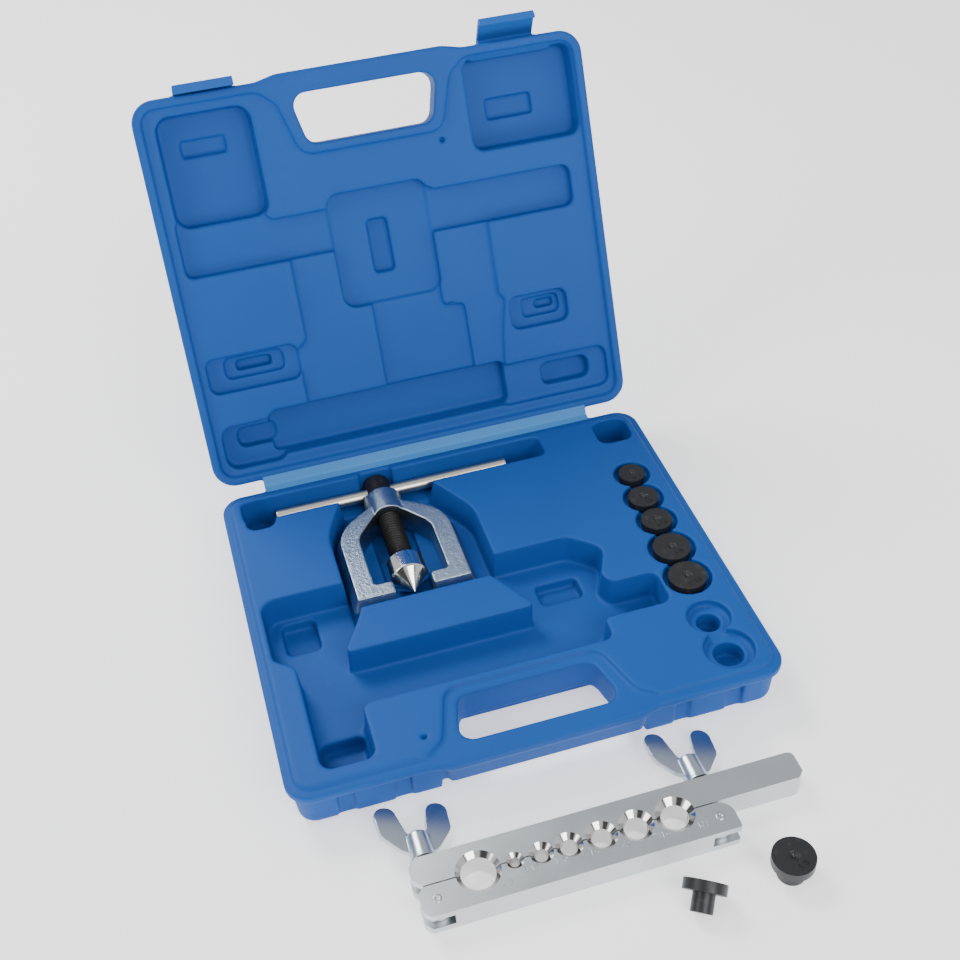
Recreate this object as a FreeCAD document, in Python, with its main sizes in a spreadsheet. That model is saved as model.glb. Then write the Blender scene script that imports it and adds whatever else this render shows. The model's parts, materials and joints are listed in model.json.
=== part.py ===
import FreeCAD, Part
import math
import os
import Sketcher
from FreeCAD import Placement, Rotation, Vector

# Flaring tool kit: an open moulded case with the flaring yoke and five adapters in
# their seats, and the split die bar and two adapters on the floor in front of it.
# Millimetres. +X runs to the right along the case, +Y to its hinge, +Z up; the origin
# is the centre of the case's underside.

SIZES = {
    # Case base, measured at the parting plane.
    "case_width": 244.0,
    "case_depth": 211.0,
    "base_height": 26.0,
    "rim_corner": 12.5,
    "lip_height": 4.6,
    "wall_inset": 2.5,
    "wall_draft": 4.5,
    "foot_round": 5.0,
    "tongue_inset": 5.0,
    "tongue_rise": 2.0,
    "pocket_draft": 4.5,
    # Carrying handle, moulded into the front walls of both shells.
    "handle_reach": 2.5,
    "handle_half": 56.0,
    "handle_step": 11.0,
    "grip_width": 11.5,
    "hole_depth": 26.5,
    "hole_front_half": 40.0,
    "hole_rear_half": 34.0,
    "hole_corner": 7.0,
    "handle_ledge": 5.0,
    "handle_underside": 8.6,
    # Latch bays in the front walls and the latches.
    "bay_from_side": 39.5,
    "bay_width": 35.0,
    "bay_depth": 4.0,
    "bay_block_width": 19.0,
    "bay_block_rise": 2.0,
    "latch_width": 31.0,
    "latch_plate": 2.7,
    "latch_gap": 0.4,
    "latch_hook": 1.7,
    "latch_hook_reach": 2.0,
    "latch_barrel": 2.2,
    "latch_stub": 1.4,
    "latch_axis_depth": 10.0,
    "latch_axis_setback": 2.0,
    "latch_left_open": 8.5,
    "latch_right_open": 43.0,
    # Lid and the living hinge.
    "lid_thickness": 22.0,
    "lid_recess": 3.0,
    "parting_gap": 0.2,
    "tongue_room": 0.4,
    "web_reach": 3.6,
    "web_thickness": 1.0,
    "web_half": 96.0,
    "lid_open_angle": 113.5,
    # Yoke: sizes along the screw are taken from the front of its feet.
    "axis_from_left": 87.6,
    "feet_from_front": 110.0,
    "axis_height": 17.0,
    "yoke_thickness": 15.0,
    "yoke_half": 33.5,
    "yoke_side_slope": 23.0,
    "yoke_window_half": 20.1,
    "foot_gap_half": 10.3,
    "foot_length": 11.0,
    "arch_inner": 62.0,
    "arch_outer": 71.0,
    "arch_outer_round": 24.0,
    "arch_inner_round": 17.0,
    "boss_radius": 10.7,
    "boss_end": 80.5,
    # Feed screw, flaring cone and tee bar.
    "screw_radius": 6.35,
    "screw_head_radius": 7.5,
    "screw_head_start": 81.8,
    "screw_head_end": 95.0,
    "screw_nose_radius": 4.4,
    "cross_hole_at": 87.7,
    "cone_tip": 6.2,
    "cone_radius": 9.8,
    "cone_collar_radius": 10.4,
    "cone_collar_end": 28.0,
    "ball_radius": 1.9,
    "ring_width": 1.0,
    "tee_radius": 3.5,
    "tee_length": 134.0,
    "tee_offset": 8.0,
    "running_gap": 0.1,
    "screw_chamfer": 1.0,
    "small_chamfer": 0.6,
    # Die bar: two halves, the split line and the die holes.
    "bar_rear_left": -78.0,
    "bar_rear_right": 106.0,
    "bar_front_left": -77.0,
    "bar_front_right": 68.0,
    "bar_from_case": 50.0,
    "split_gap": 0.5,
    "bar_rear_width": 14.45,
    "bar_front_width": 15.05,
    "bar_height": 13.2,
    "bar_chamfer": 4.0,
    "bar_corner": 7.3,
    "slot_height": 6.4,
    "pin_left": -69.8,
    "pin_right": 60.7,
    "pin_setback": 7.1,
    "pin_radius": 2.2,
    "pin_fit": 0.02,
    "bolt_radius": 3.0,
    "bolt_eye_radius": 5.5,
    "bolt_eye_thickness": 6.2,
    "bolt_length": 37.0,
    "slot_room": 0.4,
    # Wing nuts and their washers.
    "nut_standoff": 0.95,
    "washer_radius": 6.5,
    "washer_thickness": 1.2,
    "hub_radius": 5.9,
    "hub_length": 13.0,
    "wing_half_span": 17.8,
    "wing_top": 28.8,
    "wing_thickness": 2.6,
    "wing_turn": 16.0,
    # Adapters and their seats.
    "flange_thickness": 4.9,
    "stem_length": 8.5,
    "seat_depth": 4.5,
    "seat_gap": 0.1,
    "stem_room": 1.0,
    "dimple_radius": 1.5,
}


class Measure:
    """A size that carries both its number and the sheet formula that gives it."""

    def __init__(self, number, formula):
        self.number = number
        self.formula = formula

    def __add__(self, other):
        return combined(self, "+", other)

    def __radd__(self, other):
        return combined(other, "+", self)

    def __sub__(self, other):
        return combined(self, "-", other)

    def __rsub__(self, other):
        return combined(other, "-", self)

    def __mul__(self, other):
        return combined(self, "*", other)

    def __rmul__(self, other):
        return combined(other, "*", self)

    def __truediv__(self, other):
        return combined(self, "/", other)

    def __neg__(self):
        return combined(0, "-", self)


def measured(value):
    if isinstance(value, Measure):
        return value
    return Measure(float(value), repr(float(value)))


def combined(left, sign, right):
    left = measured(left)
    right = measured(right)
    numbers = {
        "+": left.number + right.number,
        "-": left.number - right.number,
        "*": left.number * right.number,
    }
    if sign == "/":
        result = left.number / right.number
    else:
        result = numbers[sign]
    return Measure(result, f"({left.formula} {sign} {right.formula})")


doc = FreeCAD.newDocument("FlaringToolKit")
sheet = doc.addObject("Spreadsheet::Sheet", "Sizes")
sheet_rows = {}


def sheet_size(name, number):
    """Write one driving dimension into the sheet and return it as a Measure."""
    row = len(sheet_rows) + 1
    sheet_rows[name] = row
    sheet.set(f"A{row}", name)
    sheet.set(f"B{row}", str(number))
    sheet.setAlias(f"B{row}", name)
    return Measure(float(number), f"Sizes.{name}")


size = {name: sheet_size(name, number) for name, number in SIZES.items()}
doc.recompute()

HALF = 0.5
subparts = []


# %% Sketches


def plane_of(body, role):
    return [feature for feature in body.Origin.OriginFeatures if feature.Role == role][0]


def new_sketch(body, name, role, offset):
    """An empty sketch on one of the body's own origin planes, moved by bound offsets."""
    sketch = body.newObject("Sketcher::SketchObject", name)
    sketch.AttachmentSupport = [(plane_of(body, role), "")]
    sketch.MapMode = "FlatFace"
    numbers = [measured(value).number for value in offset]
    sketch.AttachmentOffset = Placement(Vector(*numbers), Rotation())
    for axis_name, value in zip("xyz", offset):
        sketch.setExpression(f"AttachmentOffset.Base.{axis_name}", measured(value).formula)
    return sketch


def bind(sketch, kind, place, value):
    """Add one dimension to a sketch and tie it to its formula."""
    value = measured(value)
    index = sketch.addConstraint(Sketcher.Constraint(kind, *place, value.number))
    sketch.setExpression(f"Constraints[{index}]", value.formula)


def corner_points(before, corner, after, radius):
    """Where an arc of this radius leaves the first side and meets the second."""
    to_before = (before - corner).normalize()
    to_after = (after - corner).normalize()
    half_angle = to_before.getAngle(to_after) * HALF
    reach = radius / math.tan(half_angle)
    middle = (to_before + to_after).normalize()
    centre = corner + middle * (radius / math.sin(half_angle))
    return corner + to_before * reach, corner + to_after * reach, centre


def corner_arc(start, end, centre, radius):
    """The short arc between two points, and whether it runs anticlockwise."""
    first = math.atan2(start.y - centre.y, start.x - centre.x)
    last = math.atan2(end.y - centre.y, end.x - centre.x)
    turn = (last - first) % math.tau
    circle = Part.Circle(centre, Vector(0, 0, 1), radius)
    if turn < math.pi:
        return Part.ArcOfCircle(circle, first, first + turn), True
    return Part.ArcOfCircle(circle, last, last + math.tau - turn), False


def draw_outline(sketch, corners):
    """Draw a closed outline of straight sides with a round of its own at each corner.

    Each corner is (x, y, radius); a radius of 0 leaves it sharp. Every corner point and
    every radius is a bound dimension, so the sketch is fully constrained.
    """
    corners = [tuple(measured(value) for value in corner) for corner in corners]
    count = len(corners)
    points = [Vector(x.number, y.number, 0) for x, y, radius in corners]
    leave = []
    arrive = []
    arcs = {}
    for index, (x, y, radius) in enumerate(corners):
        point = points[index]
        if radius.number == 0:
            arrive.append(point)
            leave.append(point)
            continue
        before = points[index - 1]
        after = points[(index + 1) % count]
        start, end, centre = corner_points(before, point, after, radius.number)
        arrive.append(start)
        leave.append(end)
        arcs[index] = corner_arc(start, end, centre, radius.number)
    sides = [Part.LineSegment(leave[index], arrive[(index + 1) % count]) for index in range(count)]
    side_ids = sketch.addGeometry(sides, False)
    for index, (x, y, radius) in enumerate(corners):
        side_in = side_ids[index - 1]
        side_out = side_ids[index]
        if index not in arcs:
            sketch.addConstraint(Sketcher.Constraint("Coincident", side_in, 2, side_out, 1))
            bind(sketch, "DistanceX", (-1, 1, side_out, 1), x)
            bind(sketch, "DistanceY", (-1, 1, side_out, 1), y)
            continue
        arc, anticlockwise = arcs[index]
        arc_id = sketch.addGeometry(arc, False)
        point_id = sketch.addGeometry(Part.Point(points[index]), True)
        first, last = (1, 2) if anticlockwise else (2, 1)
        sketch.addConstraint([
            Sketcher.Constraint("Tangent", side_in, 2, arc_id, first),
            Sketcher.Constraint("Tangent", arc_id, last, side_out, 1),
            Sketcher.Constraint("PointOnObject", point_id, 1, side_in),
            Sketcher.Constraint("PointOnObject", point_id, 1, side_out),
        ])
        bind(sketch, "DistanceX", (-1, 1, point_id, 1), x)
        bind(sketch, "DistanceY", (-1, 1, point_id, 1), y)
        bind(sketch, "Radius", (arc_id,), radius)


def draw_circle(sketch, x, y, radius):
    x = measured(x)
    y = measured(y)
    radius = measured(radius)
    centre = Vector(x.number, y.number, 0)
    circle_id = sketch.addGeometry(Part.Circle(centre, Vector(0, 0, 1), radius.number), False)
    bind(sketch, "DistanceX", (-1, 1, circle_id, 3), x)
    bind(sketch, "DistanceY", (-1, 1, circle_id, 3), y)
    bind(sketch, "Radius", (circle_id,), radius)


# %% Features


def new_body(label):
    body = doc.addObject("PartDesign::Body", label)
    body.Label = label
    subparts.append(body)
    return body


def set_length(feature, name, value):
    value = measured(value)
    setattr(feature, name, value.number)
    feature.setExpression(name, value.formula)


def extruded(body, kind, sketch, length, draft=0, reverse=False, both_ways=False):
    """Pad or pocket a sketch; a positive draft narrows it away from the sketch."""
    feature = body.newObject(f"PartDesign::{kind}", sketch.Name + kind)
    feature.Profile = sketch
    set_length(feature, "Length", length)
    feature.Reversed = reverse
    feature.Midplane = both_ways
    draft = measured(draft)
    if draft.number:
        set_length(feature, "TaperAngle", -draft)
    return feature


def turned(body, kind, sketch):
    """Revolve a half profile about the sketch's upright axis."""
    feature = body.newObject(f"PartDesign::{kind}", sketch.Name + kind)
    feature.Profile = sketch
    feature.ReferenceAxis = (sketch, ["V_Axis"])
    feature.Angle = 360
    return feature


def turned_body(label, profile):
    """A turned piece standing on its own axis, Z, from a half profile of (radius, z, round)."""
    body = new_body(label)
    sketch = new_sketch(body, label + "_profile", "XZ_Plane", (0, 0, 0))
    draw_outline(sketch, profile)
    turned(body, "Revolution", sketch)
    return body


def hollow(body, name, corners, top, floor, draft, origin):
    """Cut a pocket from one height down to another; its walls close in by the draft."""
    sketch = new_sketch(body, name, "XY_Plane", (origin[0], origin[1], top))
    draw_outline(sketch, corners)
    extruded(body, "Pocket", sketch, measured(top) - floor, draft)


def round_hollow(body, name, x, y, radius, top, floor, origin):
    sketch = new_sketch(body, name, "XY_Plane", (origin[0], origin[1], top))
    draw_circle(sketch, x, y, radius)
    extruded(body, "Pocket", sketch, measured(top) - floor)


def box_corners(left, right, front, rear, radius):
    return [
        (left, front, radius),
        (right, front, radius),
        (right, rear, radius),
        (left, rear, radius),
    ]


def place(body, x, y, z, axis=(0, 0, 1), angle=0):
    """Put a sub-part in the kit; its position stays tied to the sheet."""
    values = [measured(value) for value in (x, y, z)]
    turn = Rotation(Vector(*axis), measured(angle).number)
    body.Placement = Placement(Vector(*[value.number for value in values]), turn)
    for axis_name, value in zip("xyz", values):
        body.setExpression(f"Placement.Base.{axis_name}", value.formula)


# %% Shared positions

case_left = -size["case_width"] * HALF
case_front = -size["case_depth"] * HALF
case_rear = size["case_depth"] * HALF
corner_datum = (case_left, case_front)
plateau = size["base_height"] + size["tongue_rise"]
draft = size["pocket_draft"]
middle_x = size["case_width"] * HALF

hinge_y = case_rear + size["web_reach"]
hinge_z = size["base_height"] + size["parting_gap"] * HALF
lid_rim = -size["parting_gap"] * HALF
lid_front = size["case_depth"] + size["web_reach"]
lid_datum = (case_left, 0)
bay_offset = middle_x - size["bay_from_side"]


def rim_outline(left, right, front, rear, corner, toward_front):
    """Shell outline at the parting plane, with the handle standing out of its front.

    toward_front is -1 where the front lies at the smaller y and +1 where at the larger.
    """
    outer = middle_x - size["handle_half"]
    inner = outer + size["handle_step"]
    handle_front = front + toward_front * size["handle_reach"]
    soft = 20
    return [
        (left, rear, corner),
        (left, front, corner),
        (outer, front, soft),
        (inner, handle_front, soft),
        (size["case_width"] - inner, handle_front, soft),
        (size["case_width"] - outer, front, soft),
        (right, front, corner),
        (right, rear, corner),
    ]


def tongue_outline(inset, ledge, front, rear, toward_front):
    """Inner step of a shell: it follows the rim and goes round the handle's opening."""
    left = inset
    right = size["case_width"] - inset
    front_edge = front - toward_front * inset
    hole_front = front - toward_front * (size["grip_width"] - size["handle_reach"])
    hole_rear = hole_front - toward_front * size["hole_depth"]
    shoulder = hole_front - toward_front * 3
    shoulder_half = size["hole_front_half"] + ledge * 1.5
    front_half = shoulder_half + 9
    rear_half = size["hole_rear_half"] + ledge
    ledge_rear = hole_rear - toward_front * ledge
    corner = size["rim_corner"] - inset
    return [
        (left, rear + toward_front * inset, corner),
        (left, front_edge, corner),
        (middle_x - front_half, front_edge, 8),
        (middle_x - shoulder_half, shoulder, 10),
        (middle_x - rear_half, ledge_rear, 9),
        (middle_x + rear_half, ledge_rear, 9),
        (middle_x + shoulder_half, shoulder, 10),
        (middle_x + front_half, front_edge, 8),
        (right, front_edge, corner),
        (right, rear + toward_front * inset, corner),
    ]


def hole_outline(front, toward_front):
    """The handle's opening, wider beside the grip."""
    hole_front = front - toward_front * (size["grip_width"] - size["handle_reach"])
    hole_rear = hole_front - toward_front * size["hole_depth"]
    return [
        (middle_x - size["hole_front_half"], hole_front, size["hole_corner"]),
        (middle_x + size["hole_front_half"], hole_front, size["hole_corner"]),
        (middle_x + size["hole_rear_half"], hole_rear, size["hole_corner"]),
        (middle_x - size["hole_rear_half"], hole_rear, size["hole_corner"]),
    ]


def bay_outline(side, front, toward_front, block_rise):
    """Plan of a latch bay in a front wall, with a raised block in its middle."""
    middle = middle_x + side * bay_offset
    wall = front - toward_front * size["wall_inset"]
    back = wall - toward_front * size["bay_depth"]
    block = back + toward_front * block_rise
    outside = front + toward_front * 5
    half = size["bay_width"] * HALF
    block_half = size["bay_block_width"] * HALF
    corners = [(middle - half, outside, 0), (middle - half, back, 0)]
    corners += [(middle - block_half, back, 0), (middle - block_half, block, 0)]
    corners += [(middle + block_half, block, 0), (middle + block_half, back, 0)]
    corners += [(middle + half, back, 0), (middle + half, outside, 0)]
    return corners


# %% Tool positions in the case base, from its front left corner

axis_x = size["axis_from_left"]
feet_y = size["feet_from_front"]
axis_z = size["axis_height"]
tee_y = feet_y + size["cross_hole_at"]
yoke_floor = axis_z - size["yoke_thickness"] * HALF - 0.3
boss_floor = axis_z - size["boss_radius"] - 0.3
tee_floor = axis_z - size["tee_radius"] - 2.5
tool_floor = 11.0
tee_front = tee_y - size["tee_radius"] - 8.2
tee_back = tee_y + size["tee_radius"] + 1.8
tee_left = axis_x + size["tee_offset"] - size["tee_length"] * HALF
tee_right = tee_left + size["tee_length"]

# name, stem radius, flange radius, room round it in its seat, and the seat's place in
# from the right side and from the front
ADAPTERS = [
    ("adapter_3_16", 1.75, 7.25, 2.75, 21.0, 154.0),
    ("adapter_1_4", 2.4, 8.25, 2.75, 22.0, 134.0),
    ("adapter_5_16", 3.1, 8.25, 2.75, 22.0, 115.0),
    ("adapter_3_8", 3.85, 9.9, 2.6, 22.5, 93.0),
    ("adapter_7_16", 4.5, 9.9, 2.6, 23.0, 71.0),
    ("adapter_1_2", 5.0, 9.9, 1.1, 24.0, 42.0),
    ("adapter_5_8", 6.5, 9.8, 2.7, 23.0, 20.0),
]
adapter_sizes = []
for name, stem, flange, room, from_right, from_front in ADAPTERS:
    adapter_sizes.append({
        "name": name,
        "stem": sheet_size(name + "_stem", stem),
        "flange": sheet_size(name + "_flange", flange),
        "room": sheet_size(name + "_seat_room", room),
        "seat_x": size["case_width"] - sheet_size(name + "_seat_from_right", from_right),
        "seat_y": sheet_size(name + "_seat_from_front", from_front),
    })


# %% Case base


def make_case_base():
    body = new_body("case_base")
    rim_z = size["base_height"]
    lip_z = rim_z - size["lip_height"]
    front = measured(0)
    rear = size["case_depth"]
    width = size["case_width"]
    corner = size["rim_corner"]

    wall = new_sketch(body, "base_wall", "XY_Plane", (*corner_datum, lip_z))
    inset = size["wall_inset"]
    draw_outline(wall, box_corners(inset, width - inset, inset, rear - inset, corner - inset))
    wall_pad = extruded(body, "Pad", wall, lip_z, size["wall_draft"], reverse=True)
    doc.recompute()
    bottom = [
        f"Edge{number + 1}"
        for number, edge in enumerate(wall_pad.Shape.Edges)
        if edge.BoundBox.ZMax < 0.001
    ]
    foot = body.newObject("PartDesign::Fillet", "base_foot_round")
    foot.Base = (wall_pad, bottom)
    set_length(foot, "Radius", size["foot_round"])

    lip = new_sketch(body, "base_lip", "XY_Plane", (*corner_datum, lip_z))
    draw_outline(lip, rim_outline(measured(0), width, front, rear, corner, -1))
    extruded(body, "Pad", lip, size["lip_height"])

    grip_half = size["handle_half"] - size["handle_step"] * HALF
    grip_front = -size["handle_reach"] + 0.6
    grip = new_sketch(body, "base_grip", "XY_Plane", (*corner_datum, lip_z))
    grip_corners = box_corners(middle_x - grip_half, middle_x + grip_half, grip_front, 15, 5)
    draw_outline(grip, grip_corners)
    grip_depth = lip_z - size["handle_underside"]
    extruded(body, "Pad", grip, grip_depth, 12, reverse=True)

    tongue = new_sketch(body, "base_tongue", "XY_Plane", (*corner_datum, rim_z))
    draw_outline(tongue, tongue_outline(size["tongue_inset"], size["handle_ledge"], front, rear, -1))
    extruded(body, "Pad", tongue, size["tongue_rise"])

    web = new_sketch(body, "base_web", "XY_Plane", (*corner_datum, rim_z - size["web_thickness"]))
    web_left = middle_x - size["web_half"]
    web_right = middle_x + size["web_half"]
    web_rear = rear + size["web_reach"] - 0.05
    draw_outline(web, box_corners(web_left, web_right, rear - 4, web_rear, 0))
    extruded(body, "Pad", web, size["web_thickness"])

    below_grip = new_sketch(body, "base_below_grip", "XY_Plane", (*corner_datum, 0))
    under_rear = front + size["grip_width"] + size["hole_depth"] + 3
    under_half = size["handle_half"] - 4
    under = [
        (middle_x - under_half, -6, 0),
        (middle_x + under_half, -6, 0),
        (middle_x + under_half - 4, under_rear, 8),
        (middle_x - under_half + 4, under_rear, 8),
    ]
    draw_outline(below_grip, under)
    extruded(body, "Pocket", below_grip, size["handle_underside"], 4, reverse=True)

    opening = new_sketch(body, "base_handle_hole", "XY_Plane", (*corner_datum, plateau))
    draw_outline(opening, hole_outline(front, -1))
    extruded(body, "Pocket", opening, plateau)

    for side, word in ((-1, "left"), (1, "right")):
        bay = new_sketch(body, f"base_bay_{word}", "XY_Plane", (*corner_datum, 0))
        draw_outline(bay, bay_outline(side, front, -1, size["bay_block_rise"]))
        extruded(body, "Pocket", bay, lip_z, reverse=True)

    # One hollow holds the shut die bar and the fingers that lift it; the trapezoid
    # island between the bar and the yoke is left standing.
    bar_hollow = [
        (18, 12, 6), (44, 12, 6), (44, 44, 4), (171, 44, 5), (171, 58, 3), (207, 58, 5),
        (207, 80, 5), (183, 80, 5), (180, 87, 4), (188, 105, 8), (172, 119, 9), (126, 119, 0),
        (126, 104, 6), (137, 80, 5), (46, 80, 5), (57, 104, 6), (57, 125, 0), (8, 125, 9),
        (8, 84, 6), (18, 76, 5),
    ]
    hollow(body, "bar_hollow", bar_hollow, plateau, tool_floor, draft, corner_datum)

    yoke_left = axis_x - size["yoke_half"] - 2.1
    yoke_right = axis_x + size["yoke_half"] + 10.9
    yoke_hollow = [
        (yoke_left, feet_y - 5, 0),
        (yoke_right, feet_y - 5, 0),
        (yoke_right, feet_y + 48, 30),
        (yoke_right - 18, tee_front + 4, 8),
        (yoke_left + 13, tee_front + 4, 8),
        (yoke_left, feet_y + 52, 30),
    ]
    hollow(body, "yoke_hollow", yoke_hollow, plateau, yoke_floor, draft, corner_datum)
    tee_trough = box_corners(tee_left - 18.4, tee_right + 21.2, tee_front, tee_back, 4)
    hollow(body, "tee_trough", tee_trough, plateau, tee_floor, draft, corner_datum)
    finger = box_corners(tee_left - 17.4, tee_left - 1.4, tee_front - 7, tee_back, 6)
    hollow(body, "tee_finger_hollow", finger, plateau, tee_floor - 3, 0, corner_datum)

    boss_half = size["boss_radius"] + 0.8
    cone_front = feet_y + size["cone_tip"] - 3
    boss_rear = feet_y + size["boss_end"] + 4
    under_boss = box_corners(axis_x - boss_half, axis_x + boss_half, cone_front, boss_rear, 4)
    hollow(body, "boss_hollow", under_boss, tee_floor, boss_floor, 0, corner_datum)
    head_half = size["screw_head_radius"] + 2
    head_front = feet_y + size["screw_head_start"] - 3
    head_rear = feet_y + size["screw_head_end"] + 2
    head_floor = axis_z - size["screw_head_radius"] - 1
    head = box_corners(axis_x - head_half, axis_x + head_half, head_front, head_rear, 3)
    hollow(body, "head_notch", head, plateau, head_floor, 0, corner_datum)

    hollow(body, "square_pit", box_corners(16, 34, 99, 121, 0), tool_floor, 5, draft, corner_datum)
    hollow(body, "long_pit", box_corners(149, 172, 90, 105, 0), tool_floor, 5, draft, corner_datum)
    hollow(body, "front_pit", box_corners(20, 42, 14, 39, 0), tool_floor, 4, draft, corner_datum)
    hollow(body, "end_pit", box_corners(197, 205, 60, 72, 0), tool_floor, 6, draft, corner_datum)
    pit = box_corners(width - 28, width - 8, 183, 203, 6)
    hollow(body, "rear_pit", pit, plateau, 10, 0, corner_datum)
    round_hollow(body, "vent_mark", 67, 16, 1.5, plateau, plateau - 3, corner_datum)

    ledge = plateau - size["seat_depth"]
    hole_floor = ledge - size["stem_length"] - 1
    for seat in adapter_sizes:
        name = seat["name"]
        seat_radius = seat["flange"] + seat["room"]
        round_hollow(body, "seat_" + name, seat["seat_x"], seat["seat_y"], seat_radius,
                     plateau, ledge, corner_datum)
    for seat in adapter_sizes:
        stem_radius = seat["stem"] + size["stem_room"]
        round_hollow(body, "stem_hole_" + seat["name"], seat["seat_x"], seat["seat_y"],
                     stem_radius, ledge, hole_floor, corner_datum)
    return body


# %% Case lid, lying open behind the base: y from the hinge, z out of its parting plane


def make_case_lid():
    body = new_body("case_lid")
    front = lid_front
    rear = size["web_reach"]
    width = size["case_width"]
    corner = size["rim_corner"]
    inset = size["wall_inset"]
    lip_z = lid_rim - size["lip_height"]
    back = -size["lid_thickness"]
    floor = lid_rim - size["lid_recess"]

    wall = new_sketch(body, "lid_wall", "XY_Plane", (*lid_datum, lip_z))
    draw_outline(wall, box_corners(inset, width - inset, rear + inset, front - inset, corner - inset))
    wall_pad = extruded(body, "Pad", wall, lip_z - back, size["wall_draft"], reverse=True)
    doc.recompute()
    outer = [
        f"Edge{number + 1}"
        for number, edge in enumerate(wall_pad.Shape.Edges)
        if edge.BoundBox.ZMax < back.number + 0.001
    ]
    soft = body.newObject("PartDesign::Fillet", "lid_outer_round")
    soft.Base = (wall_pad, outer)
    set_length(soft, "Radius", size["foot_round"])

    lip = new_sketch(body, "lid_lip", "XY_Plane", (*lid_datum, lip_z))
    draw_outline(lip, rim_outline(measured(0), width, front, rear, corner, 1))
    extruded(body, "Pad", lip, size["lip_height"])

    grip_half = size["handle_half"] - size["handle_step"] * HALF
    grip_front = front + size["handle_reach"] - 0.6
    grip = new_sketch(body, "lid_grip", "XY_Plane", (*lid_datum, lip_z))
    grip_corners = box_corners(middle_x - grip_half, middle_x + grip_half, front - 15, grip_front, 5)
    draw_outline(grip, grip_corners)
    extruded(body, "Pad", grip, 9, 12, reverse=True)

    web = new_sketch(body, "lid_web", "XY_Plane", (*lid_datum, lid_rim - size["web_thickness"]))
    web_left = middle_x - size["web_half"]
    web_right = middle_x + size["web_half"]
    draw_outline(web, box_corners(web_left, web_right, 0.05, rear + 4, 0))
    extruded(body, "Pad", web, size["web_thickness"])

    below_grip = new_sketch(body, "lid_below_grip", "XY_Plane", (*lid_datum, back))
    under_rear = front - size["grip_width"] - size["hole_depth"] - 3
    under_half = size["handle_half"] - 4
    under = [
        (middle_x - under_half + 4, under_rear, 8),
        (middle_x + under_half - 4, under_rear, 8),
        (middle_x + under_half, front + 6, 0),
        (middle_x - under_half, front + 6, 0),
    ]
    draw_outline(below_grip, under)
    extruded(body, "Pocket", below_grip, 8, 4, reverse=True)

    recess = tongue_outline(size["tongue_inset"] - size["tongue_room"],
                            size["handle_ledge"] - size["tongue_room"], front, rear, 1)
    hollow(body, "lid_recess", recess, lid_rim, floor, 10, lid_datum)
    opening = new_sketch(body, "lid_handle_hole", "XY_Plane", (*lid_datum, lid_rim))
    draw_outline(opening, hole_outline(front, 1))
    extruded(body, "Pocket", opening, size["lid_thickness"])

    stub_hole = size["latch_stub"] + size["running_gap"]
    for side, word in ((-1, "left"), (1, "right")):
        bay_back = back + 4.5
        bay = new_sketch(body, f"lid_bay_{word}", "XY_Plane", (*lid_datum, bay_back))
        draw_outline(bay, bay_outline(side, front, 1, 0.8))
        extruded(body, "Pocket", bay, lip_z - bay_back, reverse=True)
        stub = new_sketch(body, f"lid_stub_hole_{word}", "YZ_Plane",
                          (front - size["latch_axis_setback"], -size["latch_axis_depth"],
                           side * bay_offset))
        draw_circle(stub, 0, 0, stub_hole)
        extruded(body, "Pocket", stub, size["bay_width"] + 5, both_ways=True)

    # Hollows in the lid's inner skin, each with its depth below the parting plane. Only
    # the deep ones need draft to leave the mould.
    deep = 12
    hollows = {
        "lid_grip_hollow": (box_corners(11, 61, front - 68.5, front - 9.5, 8), 15),
        "lid_grip_pill": (box_corners(21, 47, front - 33.5, front - 22.5, 0), 17.5),
        "lid_square_hollow": (box_corners(width - 67, width - 6, front - 55.5, front - 6.5, 6), 14),
        "lid_square_pill": (box_corners(width - 56, width - 28, front - 41.5, front - 28.5, 0), 17),
        "lid_left_band": ([(10, 121, 4), (98, 121, 0), (98, 144, 0), (60, 144, 5), (56, 152, 4),
                           (10, 152, 4)], 9),
        "lid_middle_hollow": (box_corners(91, 147, 88, 151, 7), 10.5),
        "lid_middle_slot": (box_corners(111, 124, 103, 134, 0), 15),
        "lid_right_band": ([(141, 121, 0), (width - 15, 121, 5), (width - 15, 144, 5),
                            (151, 144, 3), (141, 150, 0)], 9.5),
        "lid_left_step": ([(60, 36, 0), (112, 36, 0), (112, 94, 0), (97, 94, 0), (97, 126, 0),
                           (66, 126, 0), (66, 76, 5), (60, 72, 3)], 5.5),
        "lid_right_step": ([(152, 36, 0), (175, 36, 0), (177, 56, 4), (181, 76, 4), (178, 80, 3),
                            (178, 126, 0), (141, 126, 0), (141, 80, 0), (152, 80, 0)], 5.5),
        "lid_column": ([(106, 36, 0), (158, 36, 0), (158, 78, 3), (146, 80, 2), (146, 94, 0),
                        (106, 94, 3)], 8.5),
        "lid_left_slot": (box_corners(9, 60, 56, 76, 5), 8),
        "lid_left_slot_inner": (box_corners(19, 52, 62, 74, 0), 11),
        "lid_left_slot_core": (box_corners(25, 46, 65, 72, 0), 15),
        "lid_right_slot": (box_corners(width - 61, width - 27, 57, 76, 5), 8),
        "lid_right_slot_inner": (box_corners(width - 53, width - 31, 62, 73, 0), 11),
        "lid_right_slot_core": (box_corners(width - 45, width - 33, 65, 71, 0), 14),
        "lid_trough": ([(36, 15, 4), (175, 15, 4), (175, 41, 4), (40, 41, 3), (36, 37, 3)], 15.5),
        "lid_left_end": (box_corners(9, 44, 12, 37, 7), 11),
        "lid_left_end_pit": (box_corners(17, 41, 21, 34, 5), 17),
        "lid_right_end": (box_corners(width - 75, width - 8, 14, 38, 6), 7),
        "lid_right_end_pit": (box_corners(width - 48, width - 18, 20, 34, 5), 14),
    }
    for name, (corners, depth) in hollows.items():
        wall = draft if depth > deep else 0
        hollow(body, name, corners, floor, lid_rim - depth, wall, lid_datum)
    round_hollow(body, "lid_vent_mark", width - 84, 169, 1.5, floor, floor - 3, lid_datum)
    return body


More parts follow.
